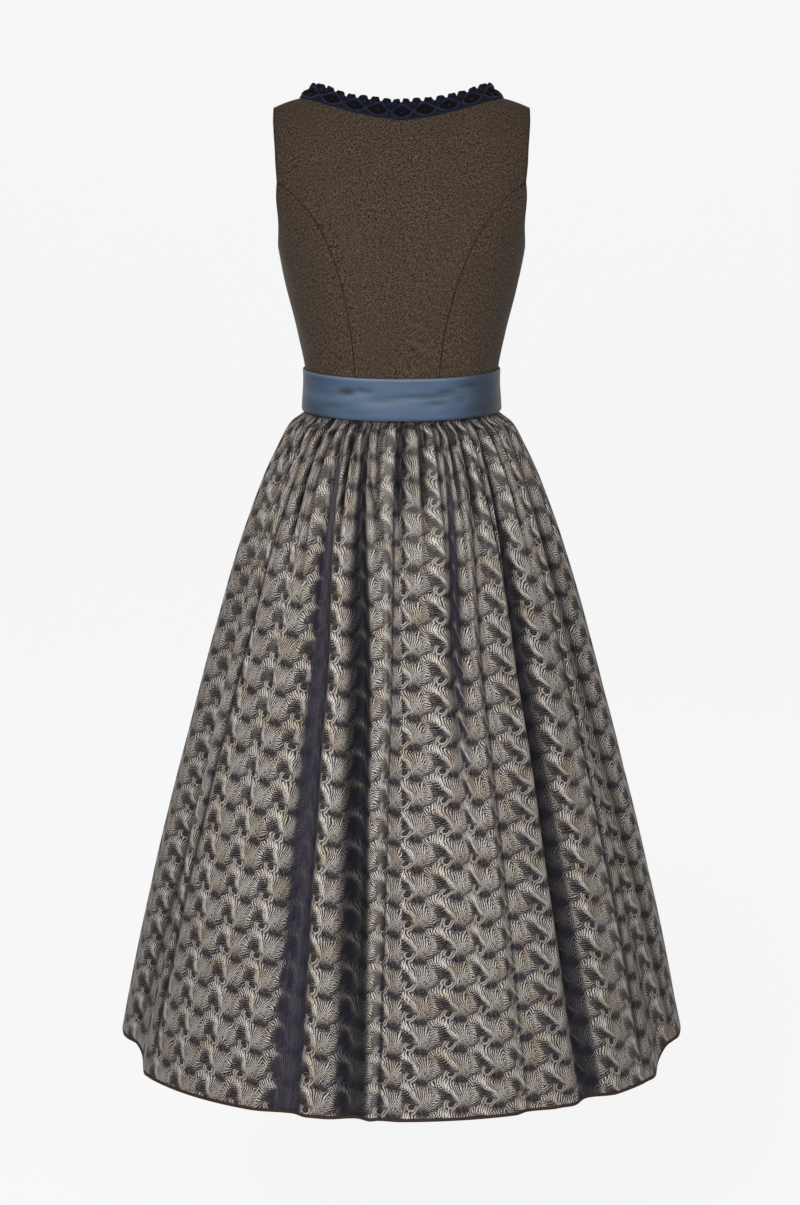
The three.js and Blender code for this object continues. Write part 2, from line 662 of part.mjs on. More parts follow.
// Bow at the centre front, over the tie
const tieFace = LAYER_GAP * 2 + SATIN_WALL * 2 + TIE_WRINKLE;
function frontFace(across, down) {
  const root = Math.sqrt(down);
  return -onTrunk(180 - turnAt(across, root), root).y + tieFace;
}
const knotShape = new THREE.SphereGeometry(1, KNOT_SIDES, KNOT_RINGS);
knotShape.scale(KNOT.across, KNOT.deep, KNOT.tall);
knotShape.translate(0, -frontFace(0, KNOT.down) - SEAM_GAP - KNOT.deep, -KNOT.down - WAIST_DIP);
add("apron_bow_knot", knotShape, satin);

// A bow piece's outer and inner grids, from a function of its length and width, given as shares
function bowGrids(steps, wall, place) {
  const outer = [];
  const inner = [];
  for (let i = 0; i <= steps.long; i += 1) {
    const outerRow = [];
    const innerRow = [];
    for (let j = 0; j <= steps.wide; j += 1) {
      const point = place(i / steps.long, (2 * j) / steps.wide - 1);
      outerRow.push(point);
      innerRow.push(point.clone().add(new THREE.Vector3(0, wall, 0)));
    }
    outer.push(outerRow);
    inner.push(innerRow);
  }
  return [outer, inner];
}
// A loop's rows run across it, and a mirrored piece's run the other way, so that both face forward
const acrossRows = (grid) => grid[0].map((_, j) => grid.map((row) => row[j]));
const turnedRows = (grid) => grid.map((row) => row.slice().reverse());

for (const [word, side] of SIDES) {
  const loop = bowGrids(LOOP_STEPS, LOOP.wall, (long, wide) => {
    const across = LOOP.start + LOOP.long * long - LOOP_SHAPE.rounds * wide * wide * long;
    const tall = mix(LOOP.narrow, LOOP.wide, Math.sqrt(Math.min(1, long * LOOP_SHAPE.widens)));
    const swell = Math.sin(Math.PI * Math.min(1, long * LOOP_SHAPE.puffs));
    const puff = LOOP.puff * swell * (1 - LOOP_SHAPE.flattens * wide * wide);
    const down = KNOT.down + LOOP.drop * long - tall * wide;
    const forward = frontFace(across, down) + SEAM_GAP + long + LOOP.wall + puff;
    return new THREE.Vector3(side * across, -forward, -down - WAIST_DIP);
  });
  const tail = bowGrids(TAIL_STEPS, SATIN_WALL, (long, wide) => {
    const down = mix(TAIL.top, TAIL.bottom, long);
    const middle = mix(TAIL.start, TAIL.start + TAIL.spread, Math.sqrt(long));
    const across = middle + wide * mix(TAIL.narrow, TAIL.wide, Math.sqrt(long));
    const bend = Math.sin(wide * TAIL_SWAY.across + long * TAIL_SWAY.along);
    const sway = TAIL_SWAY.tall * bend * smooth(0, TAIL_SWAY.full, long);
    const lift = mix(TAIL_OUT.top, TAIL_OUT.below, smooth(0, TAIL_OUT.by, long));
    const base = skirtRing(180, down, -lift - sway);
    const slant = TAIL_SLANT.tall * wide * smooth(TAIL_SLANT.starts, 1, long);
    return new THREE.Vector3(side * across, base.y, base.z - slant);
  });
  const loopRows = loop.map(acrossRows);
  add(`apron_bow_${word}`, sheetGeometry(...(side > 0 ? loopRows : loopRows.map(turnedRows))), satin);
  add(`apron_tail_${word}`, sheetGeometry(...(side > 0 ? tail.map(turnedRows) : tail)), satin);
}

export default group;
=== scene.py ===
"""The looks of a dirndl with its tied apron: every piece as cloth on its solid's form.

Metres, +Z up, the garment's front towards -Y, the wearer's left towards +X. "Down" is the drop below
the shoulder line in millimetres, "turn" the angle round the body in degrees: 0 at the centre back,
90 at the wearer's left, 180 at the centre front.
"""
import math

import bmesh
import bpy
import numpy as np
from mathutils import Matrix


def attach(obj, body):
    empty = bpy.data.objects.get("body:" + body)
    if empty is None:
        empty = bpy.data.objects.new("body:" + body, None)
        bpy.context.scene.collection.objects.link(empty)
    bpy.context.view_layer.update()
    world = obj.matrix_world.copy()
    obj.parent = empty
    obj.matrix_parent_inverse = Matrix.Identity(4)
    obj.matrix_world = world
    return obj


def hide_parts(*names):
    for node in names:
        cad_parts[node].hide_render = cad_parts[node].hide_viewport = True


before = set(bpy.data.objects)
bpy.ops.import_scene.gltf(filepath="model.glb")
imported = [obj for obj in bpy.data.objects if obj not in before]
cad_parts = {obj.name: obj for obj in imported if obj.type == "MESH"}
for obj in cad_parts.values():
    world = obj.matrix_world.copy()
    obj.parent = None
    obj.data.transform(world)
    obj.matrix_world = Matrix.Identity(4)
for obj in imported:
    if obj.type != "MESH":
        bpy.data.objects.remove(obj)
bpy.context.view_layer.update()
MM = 0.001

# ------------------------------------------------------------------ the cut, as in the solids, in mm
SEAM_GAP = 0.3
LAYER_GAP = 0.8
WOOL_WALL = 2.0
JACQUARD_WALL = 1.2
SATIN_WALL = 1.0
VELVET_WALL = 1.4
TAPE_WALL = 2.0
BAND_TOP, BAND_BOTTOM = 331.0, 382.5
WAIST_SEAM, SKIRT_HEM, BINDING_HEM = 360.0, 1206.0, 1210.0
APRON_TOP, APRON_HEM = 384.0, 1150.0
SKIRT_TOP = 360.4
# Where the skirt leaves the tie, where its gathers have opened, and where its tucks have ended
GATHER_TOP, GATHER_OPEN, TUCKS_END = 384, 430, 480
UNDERARM = 184.0
WAIST_DIP = 6.0
TRUNK_SQUARENESS = 2.4

TRUNK_COLUMNS = ("down", "back", "front", "half")
TRUNK = (
    (0, 0, 0, 186),
    (4, 15, 13, 186),
    (12, 27, 23, 187),
    (29, 43, 35, 187),
    (50, 57, 44, 186),
    (80, 71, 54, 181),
    (115, 83, 67, 170),
    (150, 90, 81, 158),
    (185, 93, 90, 152.5),
    (215, 93, 92, 147),
    (250, 91, 89, 138.5),
    (290, 88, 85, 129),
    (335, 86, 82.5, 120.5),
    (385, 88.5, 84, 122.5),
)
BUST = {"out": 24, "across": 84, "down": 192, "wide": 46, "tall": 62}
# Outer edges of the back, from the waist up its princess seams and armholes
BACK_COLUMNS = ("down", "left", "right")
BACK_EDGE = (
    (360, 57, 45),
    (338, 57, 45.7),
    (310, 58.3, 48),
    (280, 61.9, 51.8),
    (250, 66.8, 58.6),
    (220, 73.3, 67.7),
    (190, 82.6, 79),
    (162, 95, 93.6),
    (137, 111, 110.5),
    (116, 130.5, 129),
    (98, 152, 151.5),
    (74, 153.6, 153.6),
    (52, 154.5, 154.5),
    (32, 156, 156),
    (16, 157, 157),
    (0, 157, 157),
)
BACK_SEAM_TOP = 98
# The same for each front, with the centre front and the scooped neck edge above it
FRONT_COLUMNS = ("down", "left", "neck")
FRONT_EDGE = (
    (360, 60, 0),
    (337, 61.3, 0),
    (300, 65, 0),
    (263, 70, 0),
    (228, 78.5, 0),
    (195, 88, 0),
    (163, 103, 0),
    (157, 106, 42),
    (144, 114, 72),
    (128, 125.5, 92),
    (112, 138, 103),
    (95, 138, 110),
    (76, 139, 115),
    (52, 142, 120.5),
    (32, 146, 123),
    (16, 150, 124.6),
    (6, 154, 125.3),
    (1, 156, 125.6),
    (0, 157, 125.6),
)
FRONT_SEAM_TOP = 112
NECK_HALF = 125.6
BACK_NECK_DROP = 29
TRIM_TALL, TRIM_UNIT = 25.0, 31.4
TRIM_STEP, TRIM_UPRIGHT = 9, 0.45

SKIRT_COLUMNS = ("down", "half", "back", "front", "gather", "fold")
SKIRT = (
    (360, 119.6, 85.8, 81.9, 0.6, 0),
    (384, 121, 86.8, 82.3, 0.9, 0),
    (400, 140, 104, 98, 3.6, 0.1),
    (423, 153, 118, 110, 6, 0.2),
    (475, 177, 142, 130, 6, 0.36),
    (575, 212, 173, 160, 3.2, 0.55),
    (755, 262, 218, 203, 1, 0.75),
    (980, 316, 264, 250, 0.2, 0.7),
    (1206, 362, 300, 286, 0, 0.32),
    (1210, 362.8, 300.6, 286.6, 0, 0.32),
)
SIDE_RISE = 24.0
GATHERS = 52
TUCK_DEPTH = 6.0
# Large folds: turn at the waist and the hem, reach either side, depth at the hem, the drop where each
# fades, how strongly the bare ground of the weave shows in it, how much painted shade it gets, how dark
# the painted line along its crease is, with a painted highlight beside it, and how much of its reach is
# toned
FOLD_COLUMNS = ("waist", "hem", "left", "right", "deep", "fades", "ground", "shade", "line", "toned")
FOLD_ROWS = (
    (66, 70, 11, 8, 34, 9999, 0.15, 0.3, 0.2, 1),
    (27, 22, 9, 3.6, 26, 9999, 0.9, 0.35, 0.2, 0.9),
    (15, 9, 6, 3.4, 28, 9999, 0.5, 1.0, 0.2, 1),
    (0.5, 4.4, 2, 4.2, 11, 9999, 0.2, 0.15, 1.0, 1),
    (-17, -16, 4, 4, 20, 960, 0.75, 0.6, 0.2, 0.9),
    (-25, -25.5, 3.4, 8, 22, 9999, 0.15, 0.1, 0.9, 1),
    (-31, -32, 3, 3, 6, 9999, 0.2, 0.3, 0.3, 1),
    (-39, -40.5, 5.5, 7, 42, 9999, 0.5, 1.0, 0.5, 0.7),
    (-64, -68, 8, 12, 34, 9999, 0.2, 0.3, 0.8, 1),
    (100, 101, 8, 6, 26, 9999, 0.5, 0.8, 0.4, 0.8),
    (118, 119, 8, 7, 22, 9999, 0.3, 0.5, 0.5, 0.8),
    (138, 139, 9, 8, 20, 9999, 0.7, 0.4, 0.3, 0.7),
    (160, 160, 9, 9, 18, 9999, 0.2, 0.6, 0.5, 0.8),
    (-99, -100, 7, 8, 26, 9999, 0.5, 0.8, 0.4, 0.8),
    (-117, -118, 8, 8, 22, 9999, 0.3, 0.5, 0.5, 0.7),
    (-137, -138, 8, 9, 20, 9999, 0.7, 0.4, 0.3, 0.7),
    (-160, -160, 9, 9, 18, 9999, 0.2, 0.6, 0.5, 0.8),
)
FOLDS = [dict(zip(FOLD_COLUMNS, row)) for row in FOLD_ROWS]
FADE_STARTS = 0.6
SHALLOW = 8
TONED_AT_TOP = 0.45
# Drops between which the folds' tones come in below the tie
TONED_FULL, BARE_IN, LINE_IN = (390, 640), (390, 450), (395, 440)
# Painted shade that darkens the cloth at both sides and towards the hem
WOOL_SIDE_SHADE, SKIRT_SIDE_SHADE, HEM_SHADE = 0.36, 0.24, 0.1
# Single creases: turn at the waist and the hem, drops between which each runs, half width at the top
# and the hem and depth in mm, how shaded it is, and how lit the cloth beside it
CREASE_COLUMNS = ("waist", "hem", "starts", "ends", "wide", "broad", "deep", "shade", "glow")
CREASE_ROWS = (
    (43, 62, 425, 1230, 4.0, 11, 3, 1.0, 0.7),
    (64, 74, 425, 1230, 4.0, 13, 3, 0.9, 0.3),
    (23.7, -21.9, 415, 570, 4.0, 3, 4, 0.9, 0.3),
    (-27, -46, 415, 760, 4.5, 5, 4, 0.95, 0.4),
    (34, 44, 400, 900, 3.0, 3, 2, 0.5, 0.4),
    (-53, -58, 410, 1230, 4.0, 11, 3, 1.0, 0.6),
    (52, 57, 400, 700, 3.0, 3, 2, 0.6, 0.2),
    (-66, -76, 410, 1230, 4.0, 12, 3, 0.9, 0.3),
    (108, 111, 420, 1230, 3.4, 5, 2.5, 0.8, 0.4),
    (-108, -110, 420, 1230, 3.4, 5, 2.5, 0.8, 0.4),
    (130, 128, 420, 1230, 3.4, 4, 2.5, 0.8, 0.4),
    (-128, -130, 420, 1230, 3.4, 4, 2.5, 0.8, 0.4),
)
CREASES = [dict(zip(CREASE_COLUMNS, row)) for row in CREASE_ROWS]
PANEL_TURN, PANEL_LIFT, PANEL_WAVES = 118, 4.0, 11
WAISTBAND_TURN, WAISTBAND_TOP = 112, 334.0
KNOT = {"across": 13, "deep": 8, "tall": 18, "down": 355}
LOOP = {"start": 12.8, "long": 66, "narrow": 10, "wide": 22, "drop": 3, "out": 3, "puff": 5}
TAIL = {"start": 9.6, "spread": 27, "top": 372.2, "bottom": 690, "narrow": 9, "wide": 25}
TAIL_OUT_AT_TOP, TAIL_OUT = 12.6, 17.5
LOOP_WALL = 2.6


def smooth(start, end, at):
    """0 before the start, 1 past the end, eased between them."""
    share = np.clip((np.asarray(at, float) - start) / (end - start), 0, 1)
    return share * share * (3 - 2 * share)


def mix(start, end, share):
    return start + (end - start) * share


def bell(at):
    return np.exp(-np.asarray(at, float) ** 2)


def hump(near):
    """1 at the middle of a fold, easing to 0 at its reach."""
    return np.cos(np.clip(near, 0, 1) * math.pi / 2) ** 2


def swing(at):
    """A share that swings between 0 and 1."""
    return 0.5 + 0.5 * np.sin(at)


def reading(table, names, column, down, scale=lambda value: value):
    """A table's column at these drops, eased through its rows; `scale` spaces the rows."""
    rows = sorted(table)
    place = scale(np.array([row[0] for row in rows], float))
    value = np.array([row[names.index(column)] for row in rows], float)
    slope = np.empty_like(value)
    slope[1:-1] = (value[2:] - value[:-2]) / (place[2:] - place[:-2])
    slope[0] = (value[1] - value[0]) / (place[1] - place[0])
    slope[-1] = (value[-1] - value[-2]) / (place[-1] - place[-2])
    at = scale(np.asarray(down, float))
    k = np.clip(np.searchsorted(place, at, side="right") - 1, 0, len(rows) - 2)
    gap = place[k + 1] - place[k]
    t = (at - place[k]) / gap
    lead = t * (1 - t) ** 2 * slope[k]
    tail = t * t * (1 - t) * slope[k + 1]
    return value[k] + (value[k + 1] - value[k]) * t * t * (3 - 2 * t) + gap * (lead - tail)


def straight(table, names, column, down):
    """A table's column at these drops, straight between its rows."""
    rows = sorted(table)
    return np.interp(down, [row[0] for row in rows], [row[names.index(column)] for row in rows])


def ring(turn, half, back, front, squareness):
    """A rounded ring about the body, as wide as twice its half and as deep as its back and front."""
    across = np.sin(np.radians(turn))
    along = np.cos(np.radians(turn))
    power = 2 / squareness
    deep = np.where(along > 0, back, front)
    x = half * np.sign(across) * np.abs(across) ** power
    return x, deep * np.sign(along) * np.abs(along) ** power


def dip(turn, down):
    """How much lower the waist hangs at the centre back and front."""
    share = smooth(120, 330, down) * (1 - smooth(BAND_BOTTOM, 900, down))
    return WAIST_DIP * share * np.cos(np.radians(turn)) ** 2


def on_trunk(turn, down):
    """The bodice's outer face."""
    down = np.maximum(down, 0)
    sizes = [reading(TRUNK, TRUNK_COLUMNS, name, down, np.sqrt) for name in ("half", "back", "front")]
    x, y = ring(turn, *sizes, TRUNK_SQUARENESS)
    near = bell((np.abs(x) - BUST["across"]) / BUST["wide"]) * bell((down - BUST["down"]) / BUST["tall"])
    bust = BUST["out"] * near * np.sqrt(np.maximum(0, -np.cos(np.radians(turn))))
    past = np.maximum(0, np.abs(x) - 96) / 64
    shoulder = (4 - 16 * past * past) * (1 - smooth(0, 150, down))
    return np.stack([x, y - bust, shoulder - down - dip(turn, down)], -1)


def turn_at(across, down):
    """The turn at which the bodice is so far from its middle."""
    half = reading(TRUNK, TRUNK_COLUMNS, "half", down, np.sqrt)
    share = np.clip(np.abs(across) / half, 0, 1)
    return np.sign(across) * np.degrees(np.arcsin(share ** (TRUNK_SQUARENESS / 2)))


def unit(vectors):
    return vectors / np.maximum(np.linalg.norm(vectors, axis=-1, keepdims=True), 1e-12)


def facing(surface, turn, down):
    """The way a surface faces; near the shoulder the step down shrinks with the drop."""
    step = 0.04 * np.sqrt(np.maximum(down, 0)) + 0.0004
    around = surface(turn + 0.15, down) - surface(turn - 0.15, down)
    fall = surface(turn, down + step) - surface(turn, np.maximum(0, down - step))
    return unit(np.cross(around, fall))


def fold_place(fold, down):
    """The turn of a fold's or a crease's middle at a drop."""
    fall = np.clip((down - GATHER_TOP) / (SKIRT_HEM - GATHER_TOP), 0, 1)
    return mix(fold["waist"], fold["hem"], np.sqrt(fall))


def aside(turn, middle):
    """How many degrees a turn lies to the left of a middle."""
    return (turn - middle + 540) % 360 - 180


def fold_parts(turn, down):
    """The large folds: their depth, how bare and how shaded the weave is, how lit their near edges are."""
    share = reading(SKIRT, SKIRT_COLUMNS, "fold", down)
    degree = np.radians(reading(SKIRT, SKIRT_COLUMNS, "half", down))
    deep = np.zeros(np.broadcast(turn, down).shape)
    ground, shade, glow = np.zeros_like(deep), np.zeros_like(deep), np.zeros_like(deep)
    for fold in FOLDS:
        away = aside(turn, fold_place(fold, down))
        near = np.abs(away) / np.where(away > 0, fold["left"], fold["right"])
        lasts = 1 - smooth(fold["fades"] * FADE_STARTS, fold["fades"], down)
        deep = np.maximum(deep, fold["deep"] * share * lasts * hump(near))
        near = near / fold["toned"] / mix(TONED_AT_TOP, 1, smooth(*TONED_FULL, down))
        bare = fold["ground"] * lasts * smooth(*BARE_IN, down)
        ground = np.maximum(ground, smooth(0.15, 0.7, hump(near)) * bare)
        dark = fold["shade"] * lasts * smooth(GATHER_TOP, GATHER_OPEN, down)
        shade = np.maximum(shade, smooth(0.12, 0.62, hump(near * 0.8)) * dark)
        line = fold["line"] * lasts * smooth(*LINE_IN, down)
        shade = np.maximum(shade, bell(away * degree / 2.1) * line)
        glow = np.maximum(glow, bell((away * degree - 6.5) / 3.6) * line * 0.8)
    return deep, ground, shade, glow


def crease_parts(turn, down):
    """The same for the single creases: depth, shade and glow."""
    degree = np.radians(reading(SKIRT, SKIRT_COLUMNS, "half", down))
    deep = np.zeros(np.broadcast(turn, down).shape)
    shade, glow = np.zeros_like(deep), np.zeros_like(deep)
    for crease in CREASES:
        away = aside(turn, fold_place(crease, down)) * degree
        runs = smooth(crease["starts"], crease["starts"] + 40, down)
        runs = runs * (1 - smooth(crease["ends"] - 70, crease["ends"], down))
        wide = mix(crease["wide"], crease["broad"], smooth(GATHER_TOP, SKIRT_HEM, down))
        shape = bell(away / wide) ** 2 * runs
        deep = deep + crease["deep"] * shape
        shade = np.maximum(shade, crease["shade"] * shape)
        beside = bell((away - 2.6 * wide) / (1.3 * wide))
        glow = np.maximum(glow, crease["glow"] * beside * runs)
    return deep, shade, glow


def uneven(k):
    """How strong a gather of this count is."""
    return 0.75 + 0.25 * np.sin(k * 2.4) + 0.2 * np.sin(k * 5.1 + 1)


def gather_place(turn, down):
    """The turn counted in gathers, which wander a little once they have opened."""
    wander = 0.16 * np.sin(turn * 0.9 + down * 0.012)
    return turn / 360 * GATHERS + wander * smooth(GATHER_TOP, GATHER_OPEN, down)


def gather_depth(turn, down):
    """How deep the gathers and their fine ripples are."""
    place = gather_place(turn, down)
    k = np.round(place)
    wave = (0.5 + 0.5 * np.cos(2 * math.pi * place)) ** 1.6
    long = swing(k * 3.7)
    lasts = 1 - smooth(mix(GATHER_OPEN, 640, long), mix(520, 900, long), down)
    fine = 0.8 * swing(turn * 2.35 + 2 * np.sin(turn * 0.31)) * (1 - smooth(395, 450, down))
    return reading(SKIRT, SKIRT_COLUMNS, "gather", down) * wave * uneven(k) * mix(0.35, 1.35, lasts) + fine


def tucks(turn, down):
    """Sharp creases that the gathering thread draws in: 0 to 1, each with a length of its own."""
    place = gather_place(turn, down) + 0.07 * np.sin(down * 0.05 + turn)
    k = np.round(place)
    ends = GATHER_TOP + mix(45, 150, swing(k * 4.3 + 0.6))
    strong = mix(0.55, 1, swing(k * 1.9 + 2))
    sharp = bell((place - k) / mix(0.16, 0.27, strong * smooth(GATHER_TOP, GATHER_OPEN, down)))
    large = sharp * strong * (1 - smooth(ends - 40, ends, down))
    small_place = gather_place(turn, down) * 2 + 0.5 + 0.2 * np.sin(turn * 0.7)
    small_k = np.round(small_place)
    small_ends = GATHER_TOP + mix(14, 44, swing(small_k * 2.7))
    small = bell((small_place - small_k) / 0.22) * (1 - smooth(small_ends - 14, small_ends, down)) * 0.75
    return np.maximum(large, small) * smooth(381, 386, down)


def side_rise(turn, down):
    """The hem hangs higher at both sides."""
    beside = 1 - smooth(0.28, 0.46, np.abs(np.cos(np.radians(turn))))
    return SIDE_RISE * beside * smooth(700, SKIRT_HEM, down)


def skirt_ring(turn, down, inset):
    """The skirt's bell without its folds, set in by so many mm."""
    half, back, front = (reading(SKIRT, SKIRT_COLUMNS, name, down) for name in ("half", "back", "front"))
    squareness = mix(TRUNK_SQUARENESS, 2, smooth(APRON_TOP, 700, down))
    x, y = ring(turn, half, back, front, squareness)
    deep = np.where(np.cos(np.radians(turn)) > 0, back, front)
    way = unit(np.stack([x / half**2, y / deep**2, np.zeros_like(x)], -1))
    base = np.stack([x, y, side_rise(turn, down) - down - dip(turn, down)], -1)
    return base - way * np.asarray(inset)[..., None]


def on_skirt(turn, down):
    """The skirt's outer face, with its folds, gathers, tucks and creases."""
    inset = fold_parts(turn, down)[0] + gather_depth(turn, down)
    return skirt_ring(turn, down, inset + TUCK_DEPTH * tucks(turn, down) + crease_parts(turn, down)[0])


# ------------------------------------------------------------------ meshes
def grid_faces(rows, columns, start, flip):
    i, j = np.meshgrid(np.arange(rows - 1), np.arange(columns - 1), indexing="ij")
    a = start + i * columns + j
    quads = np.stack([a, a + 1, a + columns + 1, a + columns], -1).reshape(-1, 4)
    return quads[:, ::-1] if flip else quads


def cloth(name, face, out, wall, sewn, tones=None):
    """A closed sheet: its face, an inner face a wall behind it, and its edges, with cloth coordinates."""
    rows, columns = face.shape[:2]
    inner = face - out * wall
    points = np.concatenate([face.reshape(-1, 3), inner.reshape(-1, 3)]) * MM
    count = rows * columns
    edge = []
    top, bottom = np.arange(columns), np.arange(columns) + (rows - 1) * columns
    first, last = np.arange(rows) * columns, np.arange(rows) * columns + columns - 1
    for line, flip in ((top, False), (bottom, True), (first, True), (last, False)):
        a, b = line[:-1], line[1:]
        quad = np.stack([a, a + count, b + count, b], -1)
        edge.append(quad[:, ::-1] if flip else quad)
    sheets = [grid_faces(rows, columns, 0, False), grid_faces(rows, columns, count, True)]
    faces = np.concatenate(sheets + edge)
    mesh = bpy.data.meshes.new(name)
    mesh.vertices.add(len(points))
    mesh.vertices.foreach_set("co", points.ravel())
    mesh.loops.add(faces.size)
    mesh.loops.foreach_set("vertex_index", faces.ravel())
    mesh.polygons.add(len(faces))
    mesh.polygons.foreach_set("loop_start", np.arange(0, faces.size, 4))
    mesh.polygons.foreach_set("use_smooth", np.ones(len(faces), bool))
    mesh.update(calc_edges=True)
    uv = np.concatenate([sewn.reshape(-1, 2)] * 2)
    mesh.uv_layers.new(name="cloth").data.foreach_set("uv", uv[faces.ravel()].ravel())
    for word, values in (tones or {}).items():
        layer = mesh.attributes.new(word, "FLOAT", "POINT")
        layer.data.foreach_set("value", np.concatenate([values.ravel(), values.ravel()]))
    mesh.set_sharp_from_angle(angle=math.radians(60))
    mesh.validate()
    made = bpy.data.objects.new(name, mesh)
    bpy.context.scene.collection.objects.link(made)
    return made


def lengths(face, axis):
    """Length along the grid's rows or columns from its first point, in metres."""
    step = np.linalg.norm(np.diff(face, axis=axis), axis=-1)
    zero = np.zeros_like(np.take(step, [0], axis=axis))
    return np.concatenate([zero, np.cumsum(step, axis=axis)], axis=axis) * MM


def laid_flat(face):
    """Cloth coordinates that follow a face's own lengths."""
    return np.stack([lengths(face, 1), lengths(face, 0)], -1)


def finish_piece(made, nodes):
    """Hangs a piece on the root and hides the solids that it replaces."""
    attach(made, "root")
    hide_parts(*nodes)


# ------------------------------------------------------------------ shader maths
class Value:
    """A shader socket that reads as a number in Python expressions."""

    def __init__(self, tree, socket):
        self.tree, self.socket = tree, socket

    def _math(self, operation, *others):
        return self.tree.node("ShaderNodeMath", {"operation": operation}, dict(enumerate(others)))[0]

    def __add__(self, other):
        return self._math("ADD", self, other)

    def __radd__(self, other):
        return self._math("ADD", other, self)

    def __sub__(self, other):
        return self._math("SUBTRACT", self, other)

    def __rsub__(self, other):
        return self._math("SUBTRACT", other, self)

    def __mul__(self, other):
        return self._math("MULTIPLY", self, other)

    def __rmul__(self, other):
        return self._math("MULTIPLY", other, self)

    def __truediv__(self, other):
        return self._math("DIVIDE", self, other)

    def sin(self):
        return self._math("SINE", self)

    def floor(self):
        return self._math("FLOOR", self)

    def sqrt(self):
        return self._math("SQRT", self)

    def most(self, other):
        return self._math("MAXIMUM", self, other)

    def least(self, other):
        return self._math("MINIMUM", self, other)

    def angle(self, other):
        return self._math("ARCTAN2", self, other)

    def fade(self):
        """1 at nothing, falling away as the value grows."""
        return self._math("EXPONENT", self * -1.0)

    def ramp(self, start, end):
        """0 at start, 1 at end, eased between them."""
        settings = {"interpolation_type": "SMOOTHSTEP"}
        values = {"Value": self, "From Min": start, "From Max": end, "To Min": 0.0, "To Max": 1.0}
        return self.tree.node("ShaderNodeMapRange", settings, values)["Result"]


class Outputs:
    """A node's outputs by name or number, each as a value."""

    def __init__(self, tree, made):
        self.tree, self.made = tree, made

    def __getitem__(self, key):
        return Value(self.tree, self.made.outputs[key])


class Cloth:
    """A material's node tree."""

    def __init__(self, name):
        self.material = bpy.data.materials.new(name)
        self.material.use_nodes = True
        self.nodes = self.material.node_tree.nodes
        self.links = self.material.node_tree.links
        self.nodes.clear()

    def node(self, kind, settings=None, values=None):
        made = self.nodes.new(kind)
        for key, value in (settings or {}).items():
            setattr(made, key, value)
        for key, value in (values or {}).items():
            socket = made.inputs[key]
            if isinstance(value, Value):
                self.links.new(value.socket, socket)
            else:
                socket.default_value = value
        return Outputs(self, made)

    def sewn(self):
        """Cloth coordinates, in metres."""
        uv = self.node("ShaderNodeUVMap", {"uv_map": "cloth"})["UV"]
        split = self.node("ShaderNodeSeparateXYZ", {}, {"Vector": uv})
        return split["X"], split["Y"]

    def tone(self, name):
        return self.node("ShaderNodeAttribute", {"attribute_name": name})["Fac"]

    def place(self, x, y, z=0.0):
        return self.node("ShaderNodeCombineXYZ", {}, {"X": x, "Y": y, "Z": z})["Vector"]

    def noise(self, vector, scale, detail=2.0, roughness=0.5):
        values = {"Vector": vector, "Scale": scale, "Detail": detail, "Roughness": roughness}
        return self.node("ShaderNodeTexNoise", {}, values)["Fac"]

    def object_place(self):
        return self.node("ShaderNodeTexCoord")["Object"]

    def blend(self, share, first, second):
        """The first colour where share is 0, the second where it is 1."""
        settings = {"data_type": "RGBA", "clamp_factor": True}
        made = self.node("ShaderNodeMix", settings)
        for key, value in ((0, share), (6, first), (7, second)):
            socket = made.made.inputs[key]
            if isinstance(value, Value):
                self.links.new(value.socket, socket)
            else:
                socket.default_value = value if key == 0 else (*value, 1)
        return made[2]

    def bump(self, height, distance, strength=1.0):
        values = {"Height": height, "Distance": distance, "Strength": strength}
        return self.node("ShaderNodeBump", {}, values)["Normal"]

    def done(self, color, normal, roughness=0.8, constants=None):
        values = {"Base Color": color, "Normal": normal, "Roughness": roughness}
        values.update(constants or {})
        shader = self.node("ShaderNodeBsdfPrincipled", {}, values)["BSDF"]
        self.node("ShaderNodeOutputMaterial", {}, {"Surface": shader})
        return self.material


def wool_cloth():
    """Brown melange wool: light, dark and reddish hairs over a fine crosswise weave."""
    c = Cloth("melange wool")
    u, v = c.sewn()
    place = c.object_place()
    broad = c.noise(place, 22.0, 3.0, 0.6)
    weft = c.noise(c.place(u * 310.0, v * 800.0), 1.0, 1.0, 0.6)
    warp = c.noise(c.place(u * 780.0 + 70.0, v * 320.0), 1.0, 1.0, 0.6)
    grain = (weft + warp) * 0.5
    hairs = c.noise(place, 700.0, 2.0, 0.8)
    warm = c.noise(place, 420.0, 2.0, 0.6)
    color = c.blend(grain.ramp(0.40, 0.60), (0.0058, 0.0038, 0.0026), (0.088, 0.059, 0.039))
    color = c.blend(hairs.ramp(0.56, 0.70) * 0.55, color, (0.22, 0.165, 0.12))
    color = c.blend(warm.ramp(0.58, 0.72) * 0.4, color, (0.085, 0.036, 0.018))
    color = c.blend(broad.ramp(0.35, 0.7) * 0.3, color, (0.036, 0.030, 0.020))
    # Painted shade from the "edge" tone: along the seams, round the armholes and at both sides
    color = c.blend(c.tone("edge"), color, (0.010, 0.007, 0.005))
    normal = c.bump(grain * 0.6 + hairs * 0.4, 0.0004, 0.55)
    dull = {"Sheen Weight": 0.08, "Sheen Roughness": 0.5, "Specular IOR Level": 0.12}
    return c.done(color, normal, 0.92, dull)


